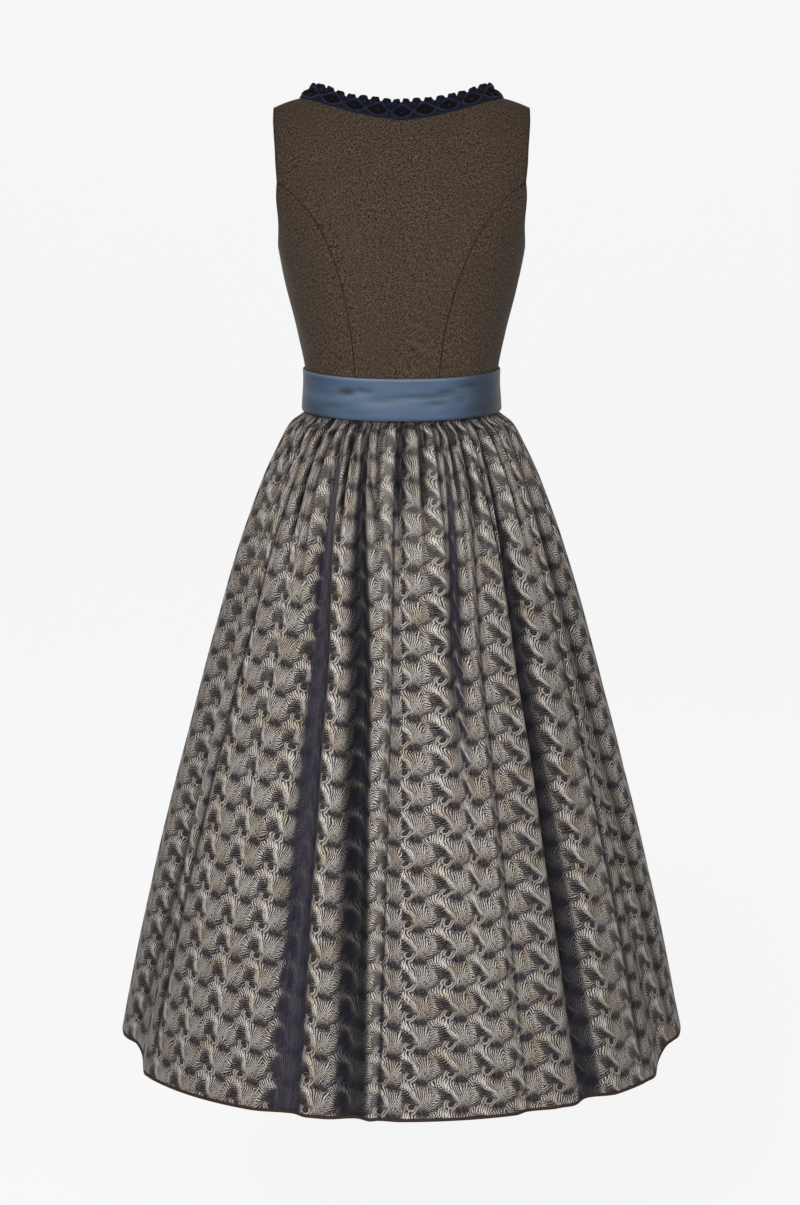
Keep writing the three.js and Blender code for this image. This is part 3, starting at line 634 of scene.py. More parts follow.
def velvet_cloth():
    """Navy velvet: painted shade near black in its pockets, a painted sheen where the nap turns over an
    edge.
    """
    c = Cloth("navy velvet")
    place = c.object_place()
    nap = c.noise(place, 900.0, 2.0, 0.7)
    broad = c.noise(place, 90.0, 2.0, 0.5)
    # Painted sheen from the "rim" tone on the trim's ridges and edges
    color = c.blend(c.tone("rim") * (broad * 0.9 + 0.45), (0.0034, 0.0042, 0.0108), (0.019, 0.024, 0.060))
    color = c.blend(nap.ramp(0.55, 0.8) * 0.2, color, (0.018, 0.020, 0.042))
    # Painted shade from the "pocket" tone, near black in the pockets and between the flaps
    color = c.blend(c.tone("pocket"), color, (0.0016, 0.0016, 0.0024))
    normal = c.bump(nap, 0.0004, 0.5)
    soft = {"Sheen Weight": 0.1, "Sheen Roughness": 0.4, "Specular IOR Level": 0.12}
    return c.done(color, normal, 0.85, soft)


def satin_cloth():
    """Blue satin with a fine crosswise rib and soft uneven shine."""
    c = Cloth("blue satin")
    u, v = c.sewn()
    rib = (v * 5200.0).sin() * 0.5 + 0.5
    thread = c.noise(c.place(u * 60.0, v * 2600.0), 1.0, 2.0, 0.6)
    broad = c.noise(c.place(u * 9.0, v * 60.0), 1.0, 3.0, 0.6)
    color = c.blend(broad.ramp(0.3, 0.7), (0.031, 0.061, 0.112), (0.051, 0.092, 0.157))
    color = c.blend(thread.ramp(0.45, 0.75) * 0.3, color, (0.10, 0.15, 0.22))
    # Painted shade from the "shade" tone and painted highlights from the "glow" tone
    color = c.blend(c.tone("shade"), color, (0.012, 0.016, 0.026))
    color = c.blend(c.tone("glow") * 0.5, color, (0.15, 0.21, 0.29))
    normal = c.bump(rib * 0.3 + thread, 0.00012, 0.5)
    shine = {"Anisotropic": 0.3, "Sheen Weight": 0.06, "Specular IOR Level": 0.35}
    return c.done(color, normal, 0.5, shine)


# One feather of the weave, in mm from its eye: how much paler or darker each place is, where it lies
# across and up, how wide and tall it is, and how many degrees it leans
FEATHER = {
    "light_patch": (0.26, 15.5, 10, 6.5, 11.5, -14),
    "crown": (0.52, -8, 25, 11, 4.6, -16),
    "fringe": (0.34, -20, 11, 3.4, 13, -8),
    "shaft": (0.44, 1, 14, 2.2, 12, 30),
    "patch_shade": (-0.46, 14.5, -8, 10.5, 5.4, -14),
    "hollow": (-0.41, -7.5, 9.5, 7.4, 12.5, 28),
    "eye": (-0.22, 1.5, -2, 6.0, 4.6, -10),
    "fringe_shade": (-0.32, -18, -5, 8, 3, 14),
}
FEATHER_WIDE, FEATHER_TALL, FEATHER_DROP = 47.5, 36.9, 1.9
FEATHER_DOME, FEATHER_SWAY, FEATHER_FOOT = 6.0, 2.5, 9.0
LEAF_LEAN = math.radians(30)
FAN_FROM, BURST_FROM, LEAF_MIDDLE = (-6.0, 6.0), (12.0, -9.0), (-8.0, 10.0)


def jacquard_cloth():
    """Pale barbs in rows of feathers on a dark ground, which is bare where a fold's side shows."""
    c = Cloth("feather jacquard")
    u, v = c.sewn()
    s, t = u * -1000.0, v * -1000.0
    wander = (c.noise(c.place(s, t), 0.07, 1.0) - 0.5) * 7.0
    drift = (c.noise(c.place(s + 300.0, t), 0.07, 1.0) - 0.5) * 7.0
    s, t = s + wander, t + drift
    s = s + (t * (2 * math.pi / FEATHER_TALL) + 1.0).sin() * FEATHER_SWAY
    column = (s / FEATHER_WIDE).floor()
    x = s - column * FEATHER_WIDE - FEATHER_WIDE / 2
    dome = ((x + 9.0) * (2 * math.pi / FEATHER_WIDE) + math.pi / 2).sin() * FEATHER_DOME
    lifted = t - column * FEATHER_DROP
    y = lifted - ((lifted - dome) / FEATHER_TALL).floor() * FEATHER_TALL - FEATHER_FOOT

    def spot(across, up, wide, tall, lean):
        turn = math.radians(lean)
        a = ((x - across) * math.cos(turn) + (y - up) * math.sin(turn)) / wide
        b = ((y - up) * math.cos(turn) - (x - across) * math.sin(turn)) / tall
        return (a * a + b * b).fade()

    def rays(from_x, from_y, squash=1.0):
        """Distance and angle of each place from a point that fine barbs spread from."""
        dx, dy = x - from_x, y - from_y
        return (dx * dx + dy * dy * squash * squash).sqrt(), dy.angle(dx)

    def barbs_at(reach, angle, count):
        return (angle * count + reach * 0.45 + bend).sin() * 0.5 + 0.5

    tone = 0.42
    for paler, *where in FEATHER.values():
        tone = spot(*where) * paler + tone
    bend = c.noise(c.place(x, y), 0.16, 0.0) * 2.6
    reach, angle = rays(*FAN_FROM, 0.8)
    near, far = barbs_at(reach, angle, 26.0), barbs_at(reach, angle, 48.0)
    fan = near + (far - near) * reach.ramp(12.0, 16.0)
    burst_reach, burst_angle = rays(*BURST_FROM)
    burst = barbs_at(burst_reach, burst_angle, 30.0)
    burst_far = barbs_at(burst_reach, burst_angle, 62.0)
    burst = burst + (burst_far - burst) * burst_reach.ramp(11.0, 15.0)
    breaks = (c.noise(c.place(reach * 0.34, angle * 12.0), 1.0, 2.0, 0.7) - 0.5) * 1.7 + 0.5
    leaf_x, leaf_y = x - LEAF_MIDDLE[0], y - LEAF_MIDDLE[1]
    across = leaf_x * math.cos(LEAF_LEAN) + leaf_y * math.sin(LEAF_LEAN)
    along = leaf_y * math.cos(LEAF_LEAN) - leaf_x * math.sin(LEAF_LEAN)
    barbs = (along * 2.3 + across - across * across * 0.07 + bend * 0.4).sin() * 0.5 + 0.5
    side, end = (across / 7.5) * (across / 7.5), (along / 14.0) * (along / 14.0)
    leaf = (side * side + end * end).fade()
    to_patch = (x - 3.0 + (y - 8.0) * 0.35).ramp(-1.5, 2.5)
    ray = fan + (burst - fan) * to_patch
    ray = ray + (barbs - ray) * leaf
    lit = (ray * 0.56 + breaks * 0.64 + tone * 0.36).ramp(0.77, 0.97) * (tone * 1.15 + 0.26)
    ring = ((x + 1.0) * (x + 1.0) + (y + 0.5) * (y + 0.5) * 1.2).sqrt()
    below = (y * -1.0 - x * 0.3).ramp(-4.0, 0.0)
    arcs = ((ring - 5.2) * 2.0 + math.pi / 2).sin() * 0.5 + 0.5
    arcs = arcs * ring.ramp(3.2, 4.4) * (1.0 - ring.ramp(8.6, 11.0)) * below
    lines = spot(1, 15, 0.9, 12.5, 31).most(spot(-1.8, 14, 0.8, 11, 31) * 0.8)
    lit = lit.most(arcs * 0.75).most(lines * 0.8)
    threads = c.noise(c.place(u * 700.0, v * 1400.0), 1.0, 1.0, 0.6)
    lit = (lit * (threads * 1.3 + 0.28)).least(1.0)
    bare = (c.tone("ground") * 1.45 - tone * 0.6).ramp(0.0, 0.8)
    lit = lit * (1.0 - bare * 0.9)
    warm = c.noise(c.place(u, v), 30.0, 2.0, 0.5)
    streaks = c.noise(c.place(u * 260.0, v * 14.0), 1.0, 2.0, 0.6)
    ground = c.blend((tone * 1.25).least(1.0), (0.0085, 0.0068, 0.0100), (0.040, 0.033, 0.031))
    navy = c.blend(streaks.ramp(0.35, 0.65), (0.013, 0.012, 0.027), (0.030, 0.024, 0.042))
    pale = c.blend(warm.ramp(0.46, 0.66), (0.61, 0.56, 0.51), (0.52, 0.435, 0.345))
    color = c.blend(lit, c.blend(bare, ground, navy), pale)
    # Painted highlights from the "glow" tone, painted shade from the "shade" tone
    color = c.blend(c.tone("glow") * 0.16, color, (0.70, 0.64, 0.55))
    color = c.blend(c.tone("shade") * 0.86, color, (0.005, 0.0045, 0.008))
    normal = c.bump(lit * 0.7 + threads * 0.3, 0.00025, 0.5)
    return c.done(color, normal, 0.7, {"Specular IOR Level": 0.15, "Sheen Weight": 0.02})


def tape_cloth():
    c = Cloth("brown tape")
    place = c.object_place()
    weave = c.noise(place, 1400.0, 2.0, 0.6)
    color = c.blend(weave.ramp(0.35, 0.7), (0.018, 0.009, 0.006), (0.05, 0.026, 0.017))
    return c.done(color, c.bump(weave, 0.0002, 0.4), 0.75, {"Specular IOR Level": 0.25})


def thread_sheen():
    c = Cloth("glazed thread")
    glint = c.noise(c.object_place(), 900.0)
    color = c.blend(glint, (0.012, 0.013, 0.014), (0.05, 0.052, 0.045))
    return c.done(color, c.bump(glint, 0.0001, 0.3), 0.3)


wool, velvet, satin = wool_cloth(), velvet_cloth(), satin_cloth()
jacquard, tape, thread = jacquard_cloth(), tape_cloth(), thread_sheen()

# ------------------------------------------------------------------ bodice
WAIST_ROOT = math.sqrt(WAIST_SEAM)
ARMHOLE_LOW = 105


def edge_away(face):
    """Millimetres from each point to the piece's four edges: first, last, top, bottom."""
    along, fall = lengths(face, 1) / MM, lengths(face, 0) / MM
    return along, along[:, -1:] - along, fall, fall[-1:, :] - fall


def wool_piece(name, turn, down):
    """A piece of the bodice, rolled in at its seams, with painted shade along them, round its armholes and
    at both sides.
    """
    out = facing(on_trunk, turn, down)
    face = on_trunk(turn, down)
    first, last, top, bottom = edge_away(face)
    side = np.minimum(first, last)
    roll = 0.7 * bell(side / 0.9) + 0.4 * bell(top / 1.5)
    soft = 0.7 * np.sin(turn * 0.13 + down * 0.035) * np.sin(down * 0.05 + turn * 0.021 + 1.3)
    soft = soft * smooth(0, 14, np.minimum(side, np.minimum(top, bottom))) * smooth(60, 200, down)
    face = face + out * (soft - roll)[..., None]
    # The "edge" tone is painted shade: along the seams, round the armholes and at both sides
    armhole = bell(np.where(down < ARMHOLE_LOW, side, 99) / 2.2)
    beside = WOOL_SIDE_SHADE * smooth(18, 75, np.abs(turn)) * (1 - smooth(100, 130, np.abs(turn)))
    edge = np.clip(bell(side / 0.85) * 0.9 + armhole * 0.3 + beside, 0, 1)
    made = cloth(name, face, out, WOOL_WALL, laid_flat(face), {"edge": edge})
    made.data.materials.append(wool)
    return made


def eased(count):
    """Shares from 0 to 1, closer together at both ends."""
    t = np.linspace(0, 1, count)
    return mix(t, 0.5 - 0.5 * np.cos(math.pi * t), 0.7)


def back_grid(columns=120, rows=110):
    """The centre back with both straps, under the scooped neck edge."""
    share = mix(-1, 1, eased(columns))[None, :]
    root = WAIST_ROOT * eased(rows)[:, None]
    along = np.minimum(1, np.abs(share) / 0.8)
    top = np.sqrt(BACK_NECK_DROP * (1 - along**1.5))
    placed = WAIST_ROOT + (root - WAIST_ROOT) * (WAIST_ROOT - top) / WAIST_ROOT
    edge = [straight(BACK_EDGE, BACK_COLUMNS, name, root**2) for name in ("left", "right")]
    across = share * np.where(share > 0, edge[0], edge[1])
    down = placed**2
    return turn_at(across, down), down


def front_grid(side, columns=56, rows=105):
    """One centre front, from its outer edge to the centre front and the neck edge above it."""
    near_shoulder = eased(rows // 3)[:-1] * 0.1
    below = mix(0.1, 1, np.linspace(0, 1, rows - rows // 3 + 1))
    down = WAIST_SEAM * np.concatenate([near_shoulder, below])[:, None]
    outer = straight(FRONT_EDGE, FRONT_COLUMNS, "left", down)
    neck = straight(FRONT_EDGE, FRONT_COLUMNS, "neck", down)
    share = eased(columns)[None, :]
    across = mix(outer, neck, share)
    turn = 180 - turn_at(across, np.broadcast_to(down, across.shape))
    down = np.broadcast_to(down, turn.shape)
    return (turn, down) if side > 0 else (-turn[:, ::-1], down[:, ::-1])


def side_grid(side, is_front, columns=50, rows=72):
    """A side back or side front, from the princess seam to the side seam."""
    front_cut = (FRONT_EDGE, FRONT_COLUMNS, FRONT_SEAM_TOP)
    back_cut = (BACK_EDGE, BACK_COLUMNS, BACK_SEAM_TOP)
    table, names, top = front_cut if is_front else back_cut
    word = "left" if side > 0 or is_front else "right"
    t = eased(rows)[:, None]
    seam_root = mix(math.sqrt(top), WAIST_ROOT, t)
    side_root = mix(math.sqrt(UNDERARM), WAIST_ROOT, t)
    across = turn_at(straight(table, names, word, seam_root**2), seam_root**2)
    start = 180 - across if is_front else across
    share = eased(columns)[None, :]
    down = mix(seam_root, side_root, np.sin(share * math.pi / 2)) ** 2
    turn = side * mix(start, 90, share)
    return (turn[:, ::-1], down[:, ::-1]) if (side > 0) == is_front else (turn, down)


back = wool_piece("back_centre_wool", *back_grid())
finish_piece(back, ["bodice_back_centre"])
for word, side in (("left", 1), ("right", -1)):
    made = wool_piece(f"back_side_wool_{word}", *side_grid(side, False))
    finish_piece(made, [f"bodice_back_side_{word}"])
    made = wool_piece(f"front_side_wool_{word}", *side_grid(side, True))
    finish_piece(made, [f"bodice_front_side_{word}"])
    made = wool_piece(f"front_wool_{word}", *front_grid(side))
    finish_piece(made, [f"bodice_front_{word}"])


# ------------------------------------------------------------------ neck trim
def neck_line():
    """The neck edge from the centre front up the left side, round the back and down the right."""
    front_down = np.concatenate([np.linspace(163, 157, 8), np.linspace(156, 0, 80)])
    front_turn = 180 - turn_at(straight(FRONT_EDGE, FRONT_COLUMNS, "neck", front_down), front_down)
    share = np.linspace(1, -1, 161)[1:-1]
    back_down = BACK_NECK_DROP * (1 - np.abs(share) ** 1.5)
    back_turn = turn_at(share * NECK_HALF, back_down)
    turn = np.concatenate([front_turn, back_turn, -front_turn[::-1]])
    down = np.concatenate([front_down, back_down, front_down[::-1]])
    return on_trunk(turn, down), facing(on_trunk, turn, down), len(front_down)


neck_points, neck_facing, front_count = neck_line()
neck_at = np.concatenate([[0], np.cumsum(np.linalg.norm(np.diff(neck_points, axis=0), axis=1))])
neck_whole, front_neck = neck_at[-1], neck_at[front_count - 1]


def along_neck(values, length):
    """A row of places or ways along the neck edge, at these lengths."""
    at = np.mod(length + neck_whole, neck_whole)
    return np.stack([np.interp(at, neck_at, values[:, k]) for k in range(3)], -1)


def neck_frame(length):
    """The trim's place on the neck edge, and the ways along it, up it and out of it."""
    ahead, behind = (along_neck(neck_points, length + step) for step in (TRIM_STEP, -TRIM_STEP))
    along = unit(ahead - behind)
    up = unit(np.cross(along_neck(neck_facing, length), along)) + [0, 0, TRIM_UPRIGHT]
    up = unit(up - along * np.sum(up * along, -1, keepdims=True))
    return along_neck(neck_points, length), along, up, unit(np.cross(along, up))


POCKET_LEVEL, FLAP_LEVEL, EYE_LEVEL = 0.41, 0.84, 0.36


def ruching(phase, level):
    """One unit of the ruched trim: how far it stands out and how deep its pocket is, then its painted
    sheen and painted shade.
    """
    wide, high = np.abs(phase) / 0.86, np.abs(level - POCKET_LEVEL)
    peaked = wide + high / 0.38
    rounded = (wide**2 + (high / 0.34) ** 2) ** 0.5
    apart = np.where(level > POCKET_LEVEL, peaked, rounded)
    rim = bell((apart - 1.03) / 0.09)
    pocket = np.where(apart < 1, -2.8 * np.sqrt(np.clip(1 - apart, 0, 1)) + 0.4, 0)
    flap_across, flap_up = (np.abs(phase) - 0.5) / 0.38, (level - FLAP_LEVEL) / 0.17
    from_flap = (flap_across**4 + flap_up**4) ** 0.25
    flap = 2.4 * (1 - smooth(0.6, 1.2, from_flap))
    flap_rim = bell((from_flap - 1) / 0.12)
    gap = -2.4 * bell((np.abs(phase) - 1) / 0.16) * smooth(0.55, 0.8, level)
    out = 2.0 + 1.9 * rim + pocket + flap + 0.8 * flap_rim + gap
    # Painted sheen on the rims, the flaps' rims and the foot; the last value is painted shade in the
    # pocket, past its rim and between the flaps
    nap = rim * smooth(-0.02, 0.1, level) + 0.7 * flap_rim + 0.2 * bell(level / 0.07)
    hollow = smooth(1.0, 0.82, apart)
    shade_past_rim = bell((apart - 1.35) / 0.14) * smooth(0.45, 0.6, level) * (1 - smooth(0.9, 1, level))
    between = bell((np.abs(phase) - 1) / 0.09) * smooth(0.6, 0.75, level)
    return out, nap, np.maximum(hollow, np.maximum(0.75 * shade_past_rim, 0.9 * between))


def teeth(phase):
    """How far the flaps' squared free edge rises over the trim's height, in mm."""
    away = np.abs(phase)
    return mix(-3.0, 0.9, smooth(0.05, 0.24, away)) - 3.0 * smooth(0.8, 0.95, away)


def trim_piece(name, start, end):
    """A run of ruched velvet between two lengths of the neck edge, and how many units it has."""
    units = max(1, round((end - start) / TRIM_UNIT))
    share = np.linspace(1, 0, units * 28 + 1)[None, :]
    level = np.linspace(1, 0, 34)[:, None]
    length = mix(start + 0.45, end - 0.45, share)
    base, _, up, out = (part[0][None] for part in neck_frame(length))
    k = np.floor(share * units)
    phase = (share * units * 2) % 2 - 1 + 0.05 * np.sin(level * 5 + k * 2.1)
    uplift = teeth(phase) + 0.6 * np.sin(k * 3.3 + phase * 2)
    uplift = uplift * (1 - 0.7 * bell((np.abs(base[..., 0]) - 114) / 16))
    lower = 1 - 0.17 * bell((np.abs(base[..., 0]) - 72) / 34) * smooth(-20, 10, base[..., 1])
    tall = (TRIM_TALL * lower + uplift * smooth(0.5, 1, level)) * level + SEAM_GAP
    stands, rim, pocket = ruching(phase, level)
    stands = stands + 0.5 * np.sin(phase * 9 + level * 7 + k) * smooth(0, 0.2, level)
    stands = stands * smooth(-0.12, 0.16, level)
    foot = base + up * tall[..., None]
    face = foot + out * stands[..., None]
    back_gap = stands + VELVET_WALL
    sewn = np.stack(np.broadcast_arrays(length * MM, level * TRIM_TALL * MM), -1)
    # The "rim" tone is a painted sheen on the velvet's ridges and edges, the "pocket" tone painted shade
    # in its pockets and between its flaps
    tones = {"rim": np.clip(rim, 0, 1), "pocket": np.clip(pocket, 0, 1)}
    made = cloth(name, face, out * back_gap[..., None], 1.0, sewn, tones)
    made.data.materials.append(velvet)
    return made, units


KNOT_RADIUS, EDGING_RADIUS = 0.8, 1.1


def beads(name, start, end, units):
    """A small stitched knot at each pocket's eye, set along the neck edge by Geometry Nodes."""
    share = (np.arange(units) + 0.5) / units
    base, _, up, out = neck_frame(mix(start, end, share))
    eyes = base + up * (TRIM_TALL * EYE_LEVEL) + out * 0.9
    mesh = bpy.data.meshes.new(name)
    mesh.from_pydata([tuple(p * MM) for p in eyes], [], [])
    made = bpy.data.objects.new(name, mesh)
    bpy.context.scene.collection.objects.link(made)
    tree = bpy.data.node_groups.new("stitched knots", "GeometryNodeTree")
    tree.interface.new_socket("Geometry", in_out="INPUT", socket_type="NodeSocketGeometry")
    radius = tree.interface.new_socket("Knot radius", in_out="INPUT", socket_type="NodeSocketFloat")
    tree.interface.new_socket("Geometry", in_out="OUTPUT", socket_type="NodeSocketGeometry")
    add = tree.nodes.new
    given, result = add("NodeGroupInput"), add("NodeGroupOutput")
    ball, spread = add("GeometryNodeMeshIcoSphere"), add("GeometryNodeInstanceOnPoints")
    real, paint = add("GeometryNodeRealizeInstances"), add("GeometryNodeSetMaterial")
    ball.inputs["Subdivisions"].default_value = 2
    paint.inputs["Material"].default_value = thread
    for start_socket, end_socket in (
        (given.outputs["Knot radius"], ball.inputs["Radius"]),
        (given.outputs["Geometry"], spread.inputs["Points"]),
        (ball.outputs["Mesh"], spread.inputs["Instance"]),
        (spread.outputs["Instances"], real.inputs["Geometry"]),
        (real.outputs["Geometry"], paint.inputs["Geometry"]),
        (paint.outputs["Geometry"], result.inputs["Geometry"]),
    ):
        tree.links.new(start_socket, end_socket)
    return plain_mesh(made, tree, {radius.identifier: KNOT_RADIUS * MM})


def plain_mesh(made, tree, inputs):
    """Puts a Geometry Nodes result in the object's own mesh and takes the modifier off."""
    modifier = made.modifiers.new("rule", "NODES")
    modifier.node_group = tree
    for key, value in inputs.items():
        modifier[key] = value
    bpy.context.view_layer.update()
    graph = bpy.context.evaluated_depsgraph_get()
    result = bpy.data.meshes.new_from_object(made.evaluated_get(graph))
    made.modifiers.remove(modifier)
    made.data = result
    made.data.shade_smooth()
    return made


for name, node, start, end, flat in (
    ("velvet_front_left", "neck_trim_front_left", 0.0, front_neck, 0.23),
    ("velvet_back", "neck_trim_back", front_neck, neck_whole - front_neck, 0.29),
    ("velvet_front_right", "neck_trim_front_right", neck_whole - front_neck, neck_whole, 0.23),
):
    made, units = trim_piece(name, start, end)
    knots = beads(name + "_knots", start, end, units)
    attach(knots, "root")
    finish_piece(made, [node])


# ------------------------------------------------------------------ skirt
under_tie_levels = np.linspace(SKIRT_TOP, GATHER_TOP, 4)
gather_levels = np.linspace(GATHER_TOP, TUCKS_END, 28)
SKIRT_LEVELS = np.concatenate(
    [under_tie_levels[:-1], gather_levels[:-1], np.linspace(TUCKS_END, SKIRT_HEM, 56)]
)
SHIFT_PER_DEGREE = 0.0071


def cloth_across(turn, down):
    """Cloth coordinates across the skirt: true to size on each face, taken up in the folds between."""
    face = on_skirt(turn, down)
    run = lengths(face, 1)
    hem = run[-1]
    middles = sorted(mix(*pair, 0.5) for pair in fold_faces())
    placed = None
    line = turn[0]
    for k, middle in enumerate(middles):
        here = np.array([np.interp(middle, line, row) for row in run])[:, None]
        own = np.interp(middle, line, hem) + run - here
        if placed is None:
            placed = own
        else:
            valley = fold_between(middles[k - 1], middle, down)
            placed = mix(placed, own, smooth(valley - 2.2, valley + 2.2, turn))
    return placed


def fold_faces():
    """The turns at the hem between which each smooth face of the skirt lies."""
    deep = [fold["hem"] for fold in FOLDS if fold["deep"] > SHALLOW]
    hems = sorted(deep + [hem + 360 for hem in deep])
    hems = [hems[0] - 40] + hems
    return list(zip(hems[:-1], hems[1:]))


def fold_between(start, end, down):
    """The turn of the deep fold between two faces of the skirt."""
    for fold in FOLDS:
        for whole in (0, 360):
            if start < fold["hem"] + whole < end and fold["deep"] > SHALLOW:
                return fold_place(fold, down) + whole
    return (start + end) / 2


def skirt_piece(name, start):
    """A quarter of the skirt, from its start to 90 degrees on."""
    line = np.linspace(start, start + 90, 310)
    turn, down = np.meshgrid(line, SKIRT_LEVELS)
    out = facing(on_skirt, turn, down)
    face = on_skirt(turn, down)
    creep = 0.8 * np.sin(turn * 0.5 + down * 0.021) * np.sin(down * 0.013 + turn * 0.17)
    face = face + out * (creep * smooth(GATHER_OPEN, 700, down))[..., None]
    first, last = edge_away(face)[:2]
    face = face - out * (0.7 * bell(np.minimum(first, last) / 2.2))[..., None]
    around = np.array(cloth_across(turn, down))
    half = reading(SKIRT, SKIRT_COLUMNS, "half", SKIRT_LEVELS)
    fall = np.concatenate([[0], np.cumsum(np.hypot(np.diff(SKIRT_LEVELS), np.diff(half)))])
    sewn = np.stack(np.broadcast_arrays(around + start * SHIFT_PER_DEGREE, fall[:, None] * MM), -1)
    ground, shade, glow = fold_parts(turn, down)[1:]
    creased, lit = crease_parts(turn, down)[1:]
    shade, glow = np.maximum(shade, creased), np.maximum(glow, lit)
    # Besides the folds' and creases' painted shade and highlights: painted shade in the tucks, between the
    # gathers, under the tie, at both sides and towards the hem, and painted highlights on the gathers'
    # ridges
    drawn_in = tucks(turn, down)
    place = gather_place(turn, down)
    wave = np.cos(2 * math.pi * place)
    ridges = (0.5 - 0.5 * wave) * (1 - smooth(GATHER_OPEN, 620, down)) * smooth(GATHER_TOP, 400, down)
    valleys = (0.5 + 0.5 * wave) ** 2 * (1 - smooth(GATHER_OPEN, 640, down))
    under_tie = 1 - smooth(GATHER_TOP, 392, down)
    shade = np.maximum(np.maximum(shade, 1.5 * drawn_in), np.maximum(0.8 * valleys, 0.8 * under_tie))
    beside = SKIRT_SIDE_SHADE * np.where(turn > 0, smooth(30, 76, turn), smooth(18, 66, -turn))
    beside = beside * (1 - smooth(100, 130, np.abs(turn)))
    shade = np.maximum(shade, beside + HEM_SHADE * smooth(850, APRON_HEM, down))
    shade = np.clip(shade, 0, 1)
    glow = np.clip(glow + 0.6 * ridges, 0, 1) * (1 - shade)
    made = cloth(name, face, out, JACQUARD_WALL, sewn, {"ground": ground, "shade": shade, "glow": glow})
    made.data.materials.append(jacquard)
    return made


for word, start in (("back", -90), ("front", 90)):
    levels = np.linspace(SKIRT_HEM + 0.2, BINDING_HEM, 4)
    turn, down = np.meshgrid(np.linspace(start, start + 180, 620), levels)
    out = facing(on_skirt, turn, down)
    face = on_skirt(turn, down) + out * 0.3
    made = cloth(f"hem_tape_{word}", face, out, TAPE_WALL, laid_flat(face))
    made.data.materials.append(tape)
    finish_piece(made, [f"hem_binding_{word}"])

for name, start, node in (
    ("jacquard_back_left", 0, "skirt_back_left"),
    ("jacquard_front_left", 90, "skirt_front_left"),
    ("jacquard_front_right", -180, "skirt_front_right"),
    ("jacquard_back_right", -90, "skirt_back_right"),
):
    made = skirt_piece(name, start)
    finish_piece(made, [node])


# ------------------------------------------------------------------ apron, its waistband, tie and bow
# Wrinkles of the tie: turn and drop of the middle, half length in degrees, half height in mm, tilt,
# depth in mm, and how shaded each is
WRINKLES = (
    (30, 349, 6.5, 4.6, 0.25, 1.8, 0.95),
    (19, 347, 5, 4.5, -0.1, 0.9, 0.45),
    (7, 358, 9, 3.5, 0.1, 0.8, 0.5),
    (-15, 352, 21, 2.6, 0.09, 1.3, 0.6),
    (-17, 361, 7, 3.0, 0.05, 0.9, 0.65),
    (-23, 347, 7, 3.2, 0.1, 0.9, 0.6),
    (-41, 341, 10, 4.2, 0.1, 1.1, 0.85),
    (-33, 358, 8, 8, 0.2, 0.7, 0.55),
    (-52, 352, 9, 13, 0.2, 0.9, 0.7),
    (40, 366, 12, 5, 0.1, 0.7, 0.4),
    (58, 352, 10, 12, -0.1, 0.7, 0.45),
)


def tie_creases(turn, down):
    """How deep the tie's wrinkles are, and how shaded."""
    deep = np.zeros(np.broadcast(turn, down).shape)
    dark = np.zeros_like(deep)
    for middle, level, long, tall, tilt, amount, shaded in WRINKLES:
        away = aside(turn, middle)
        wrinkle = bell(away / long) * bell((down - level - tilt * away) / tall)
        deep, dark = deep + 1.5 * amount * wrinkle, np.maximum(dark, 1.1 * shaded * wrinkle)
    front = smooth(95, 110, np.abs(turn))
    wide = 0.5 * swing(turn * 0.11 + down * 0.16)
    return deep + wide * mix(0.4, 1.6, front), dark


# The tie lies on the bodice, and in front on the apron's waistband too
TIE_LIFT = LAYER_GAP + 1.2
TIE_FACE = 2 * TIE_LIFT + 0.9
turn, down = np.meshgrid(np.linspace(-180, 180, 481), np.linspace(BAND_TOP, BAND_BOTTOM, 36))
out = facing(on_trunk, turn, down)
over = smooth(96, 109, np.abs(turn)) * TIE_LIFT
top, bottom = edge_away(on_trunk(turn, down))[2:]
creases, dark = tie_creases(turn, down)
roll = 0.7 * bell(np.minimum(top, bottom) / 1.3)
face = on_trunk(turn, down) + out * (TIE_LIFT + over + 1.1 - creases * 0.8 - roll)[..., None]
# Painted shade on both sides of the tie, in its wrinkles and under its lower edge; painted highlights
# along its top edge, above its wrinkles and in a band across it
right_side_shade = 0.8 * smooth(18, 52, -turn) * (1 - smooth(100, 130, -turn))
left_side_shade = 0.6 * smooth(30, 60, turn) * (1 - smooth(100, 130, turn))
shade = np.clip(np.maximum(dark, right_side_shade + left_side_shade) + 0.55 * bell((bottom - 0.8) / 1.2), 0, 1)
above = np.roll(dark, 4, axis=0)
glow = 0.9 * bell((top - 1.6) / 1.5) + 0.45 * above * (1 - dark) + 0.25 * bell((down - 358) / 7)
glow = np.clip(glow, 0, 1)
tones = {"shade": shade, "glow": glow * (1 - right_side_shade)}
tie = cloth("satin_tie", face, out, SATIN_WALL, laid_flat(face), tones)
tie.data.materials.append(satin)
finish_piece(tie, ["apron_tie"])

around = np.linspace(WAISTBAND_TURN, 360 - WAISTBAND_TURN, 180)
turn, down = np.meshgrid(around, np.linspace(WAISTBAND_TOP, APRON_TOP, 16))
out = facing(on_trunk, turn, down)
face = on_trunk(turn, down) + out * TIE_LIFT
made = cloth("satin_waistband", face, out, SATIN_WALL, laid_flat(face))
made.data.materials.append(satin)
finish_piece(made, ["apron_waistband"])


def panel_place(turn):
    """The turn counted in the apron's long waves."""
    return (turn - PANEL_TURN) / (360 - 2 * PANEL_TURN) * PANEL_WAVES


def panel_gathers(place, down):
    """Fine gathers under the waistband, 0 in their valleys and 1 on their ridges."""
    return 0.5 + 0.5 * np.cos(2 * math.pi * place * 3 + np.sin(place * 2)), 1 - smooth(395, 560, down)


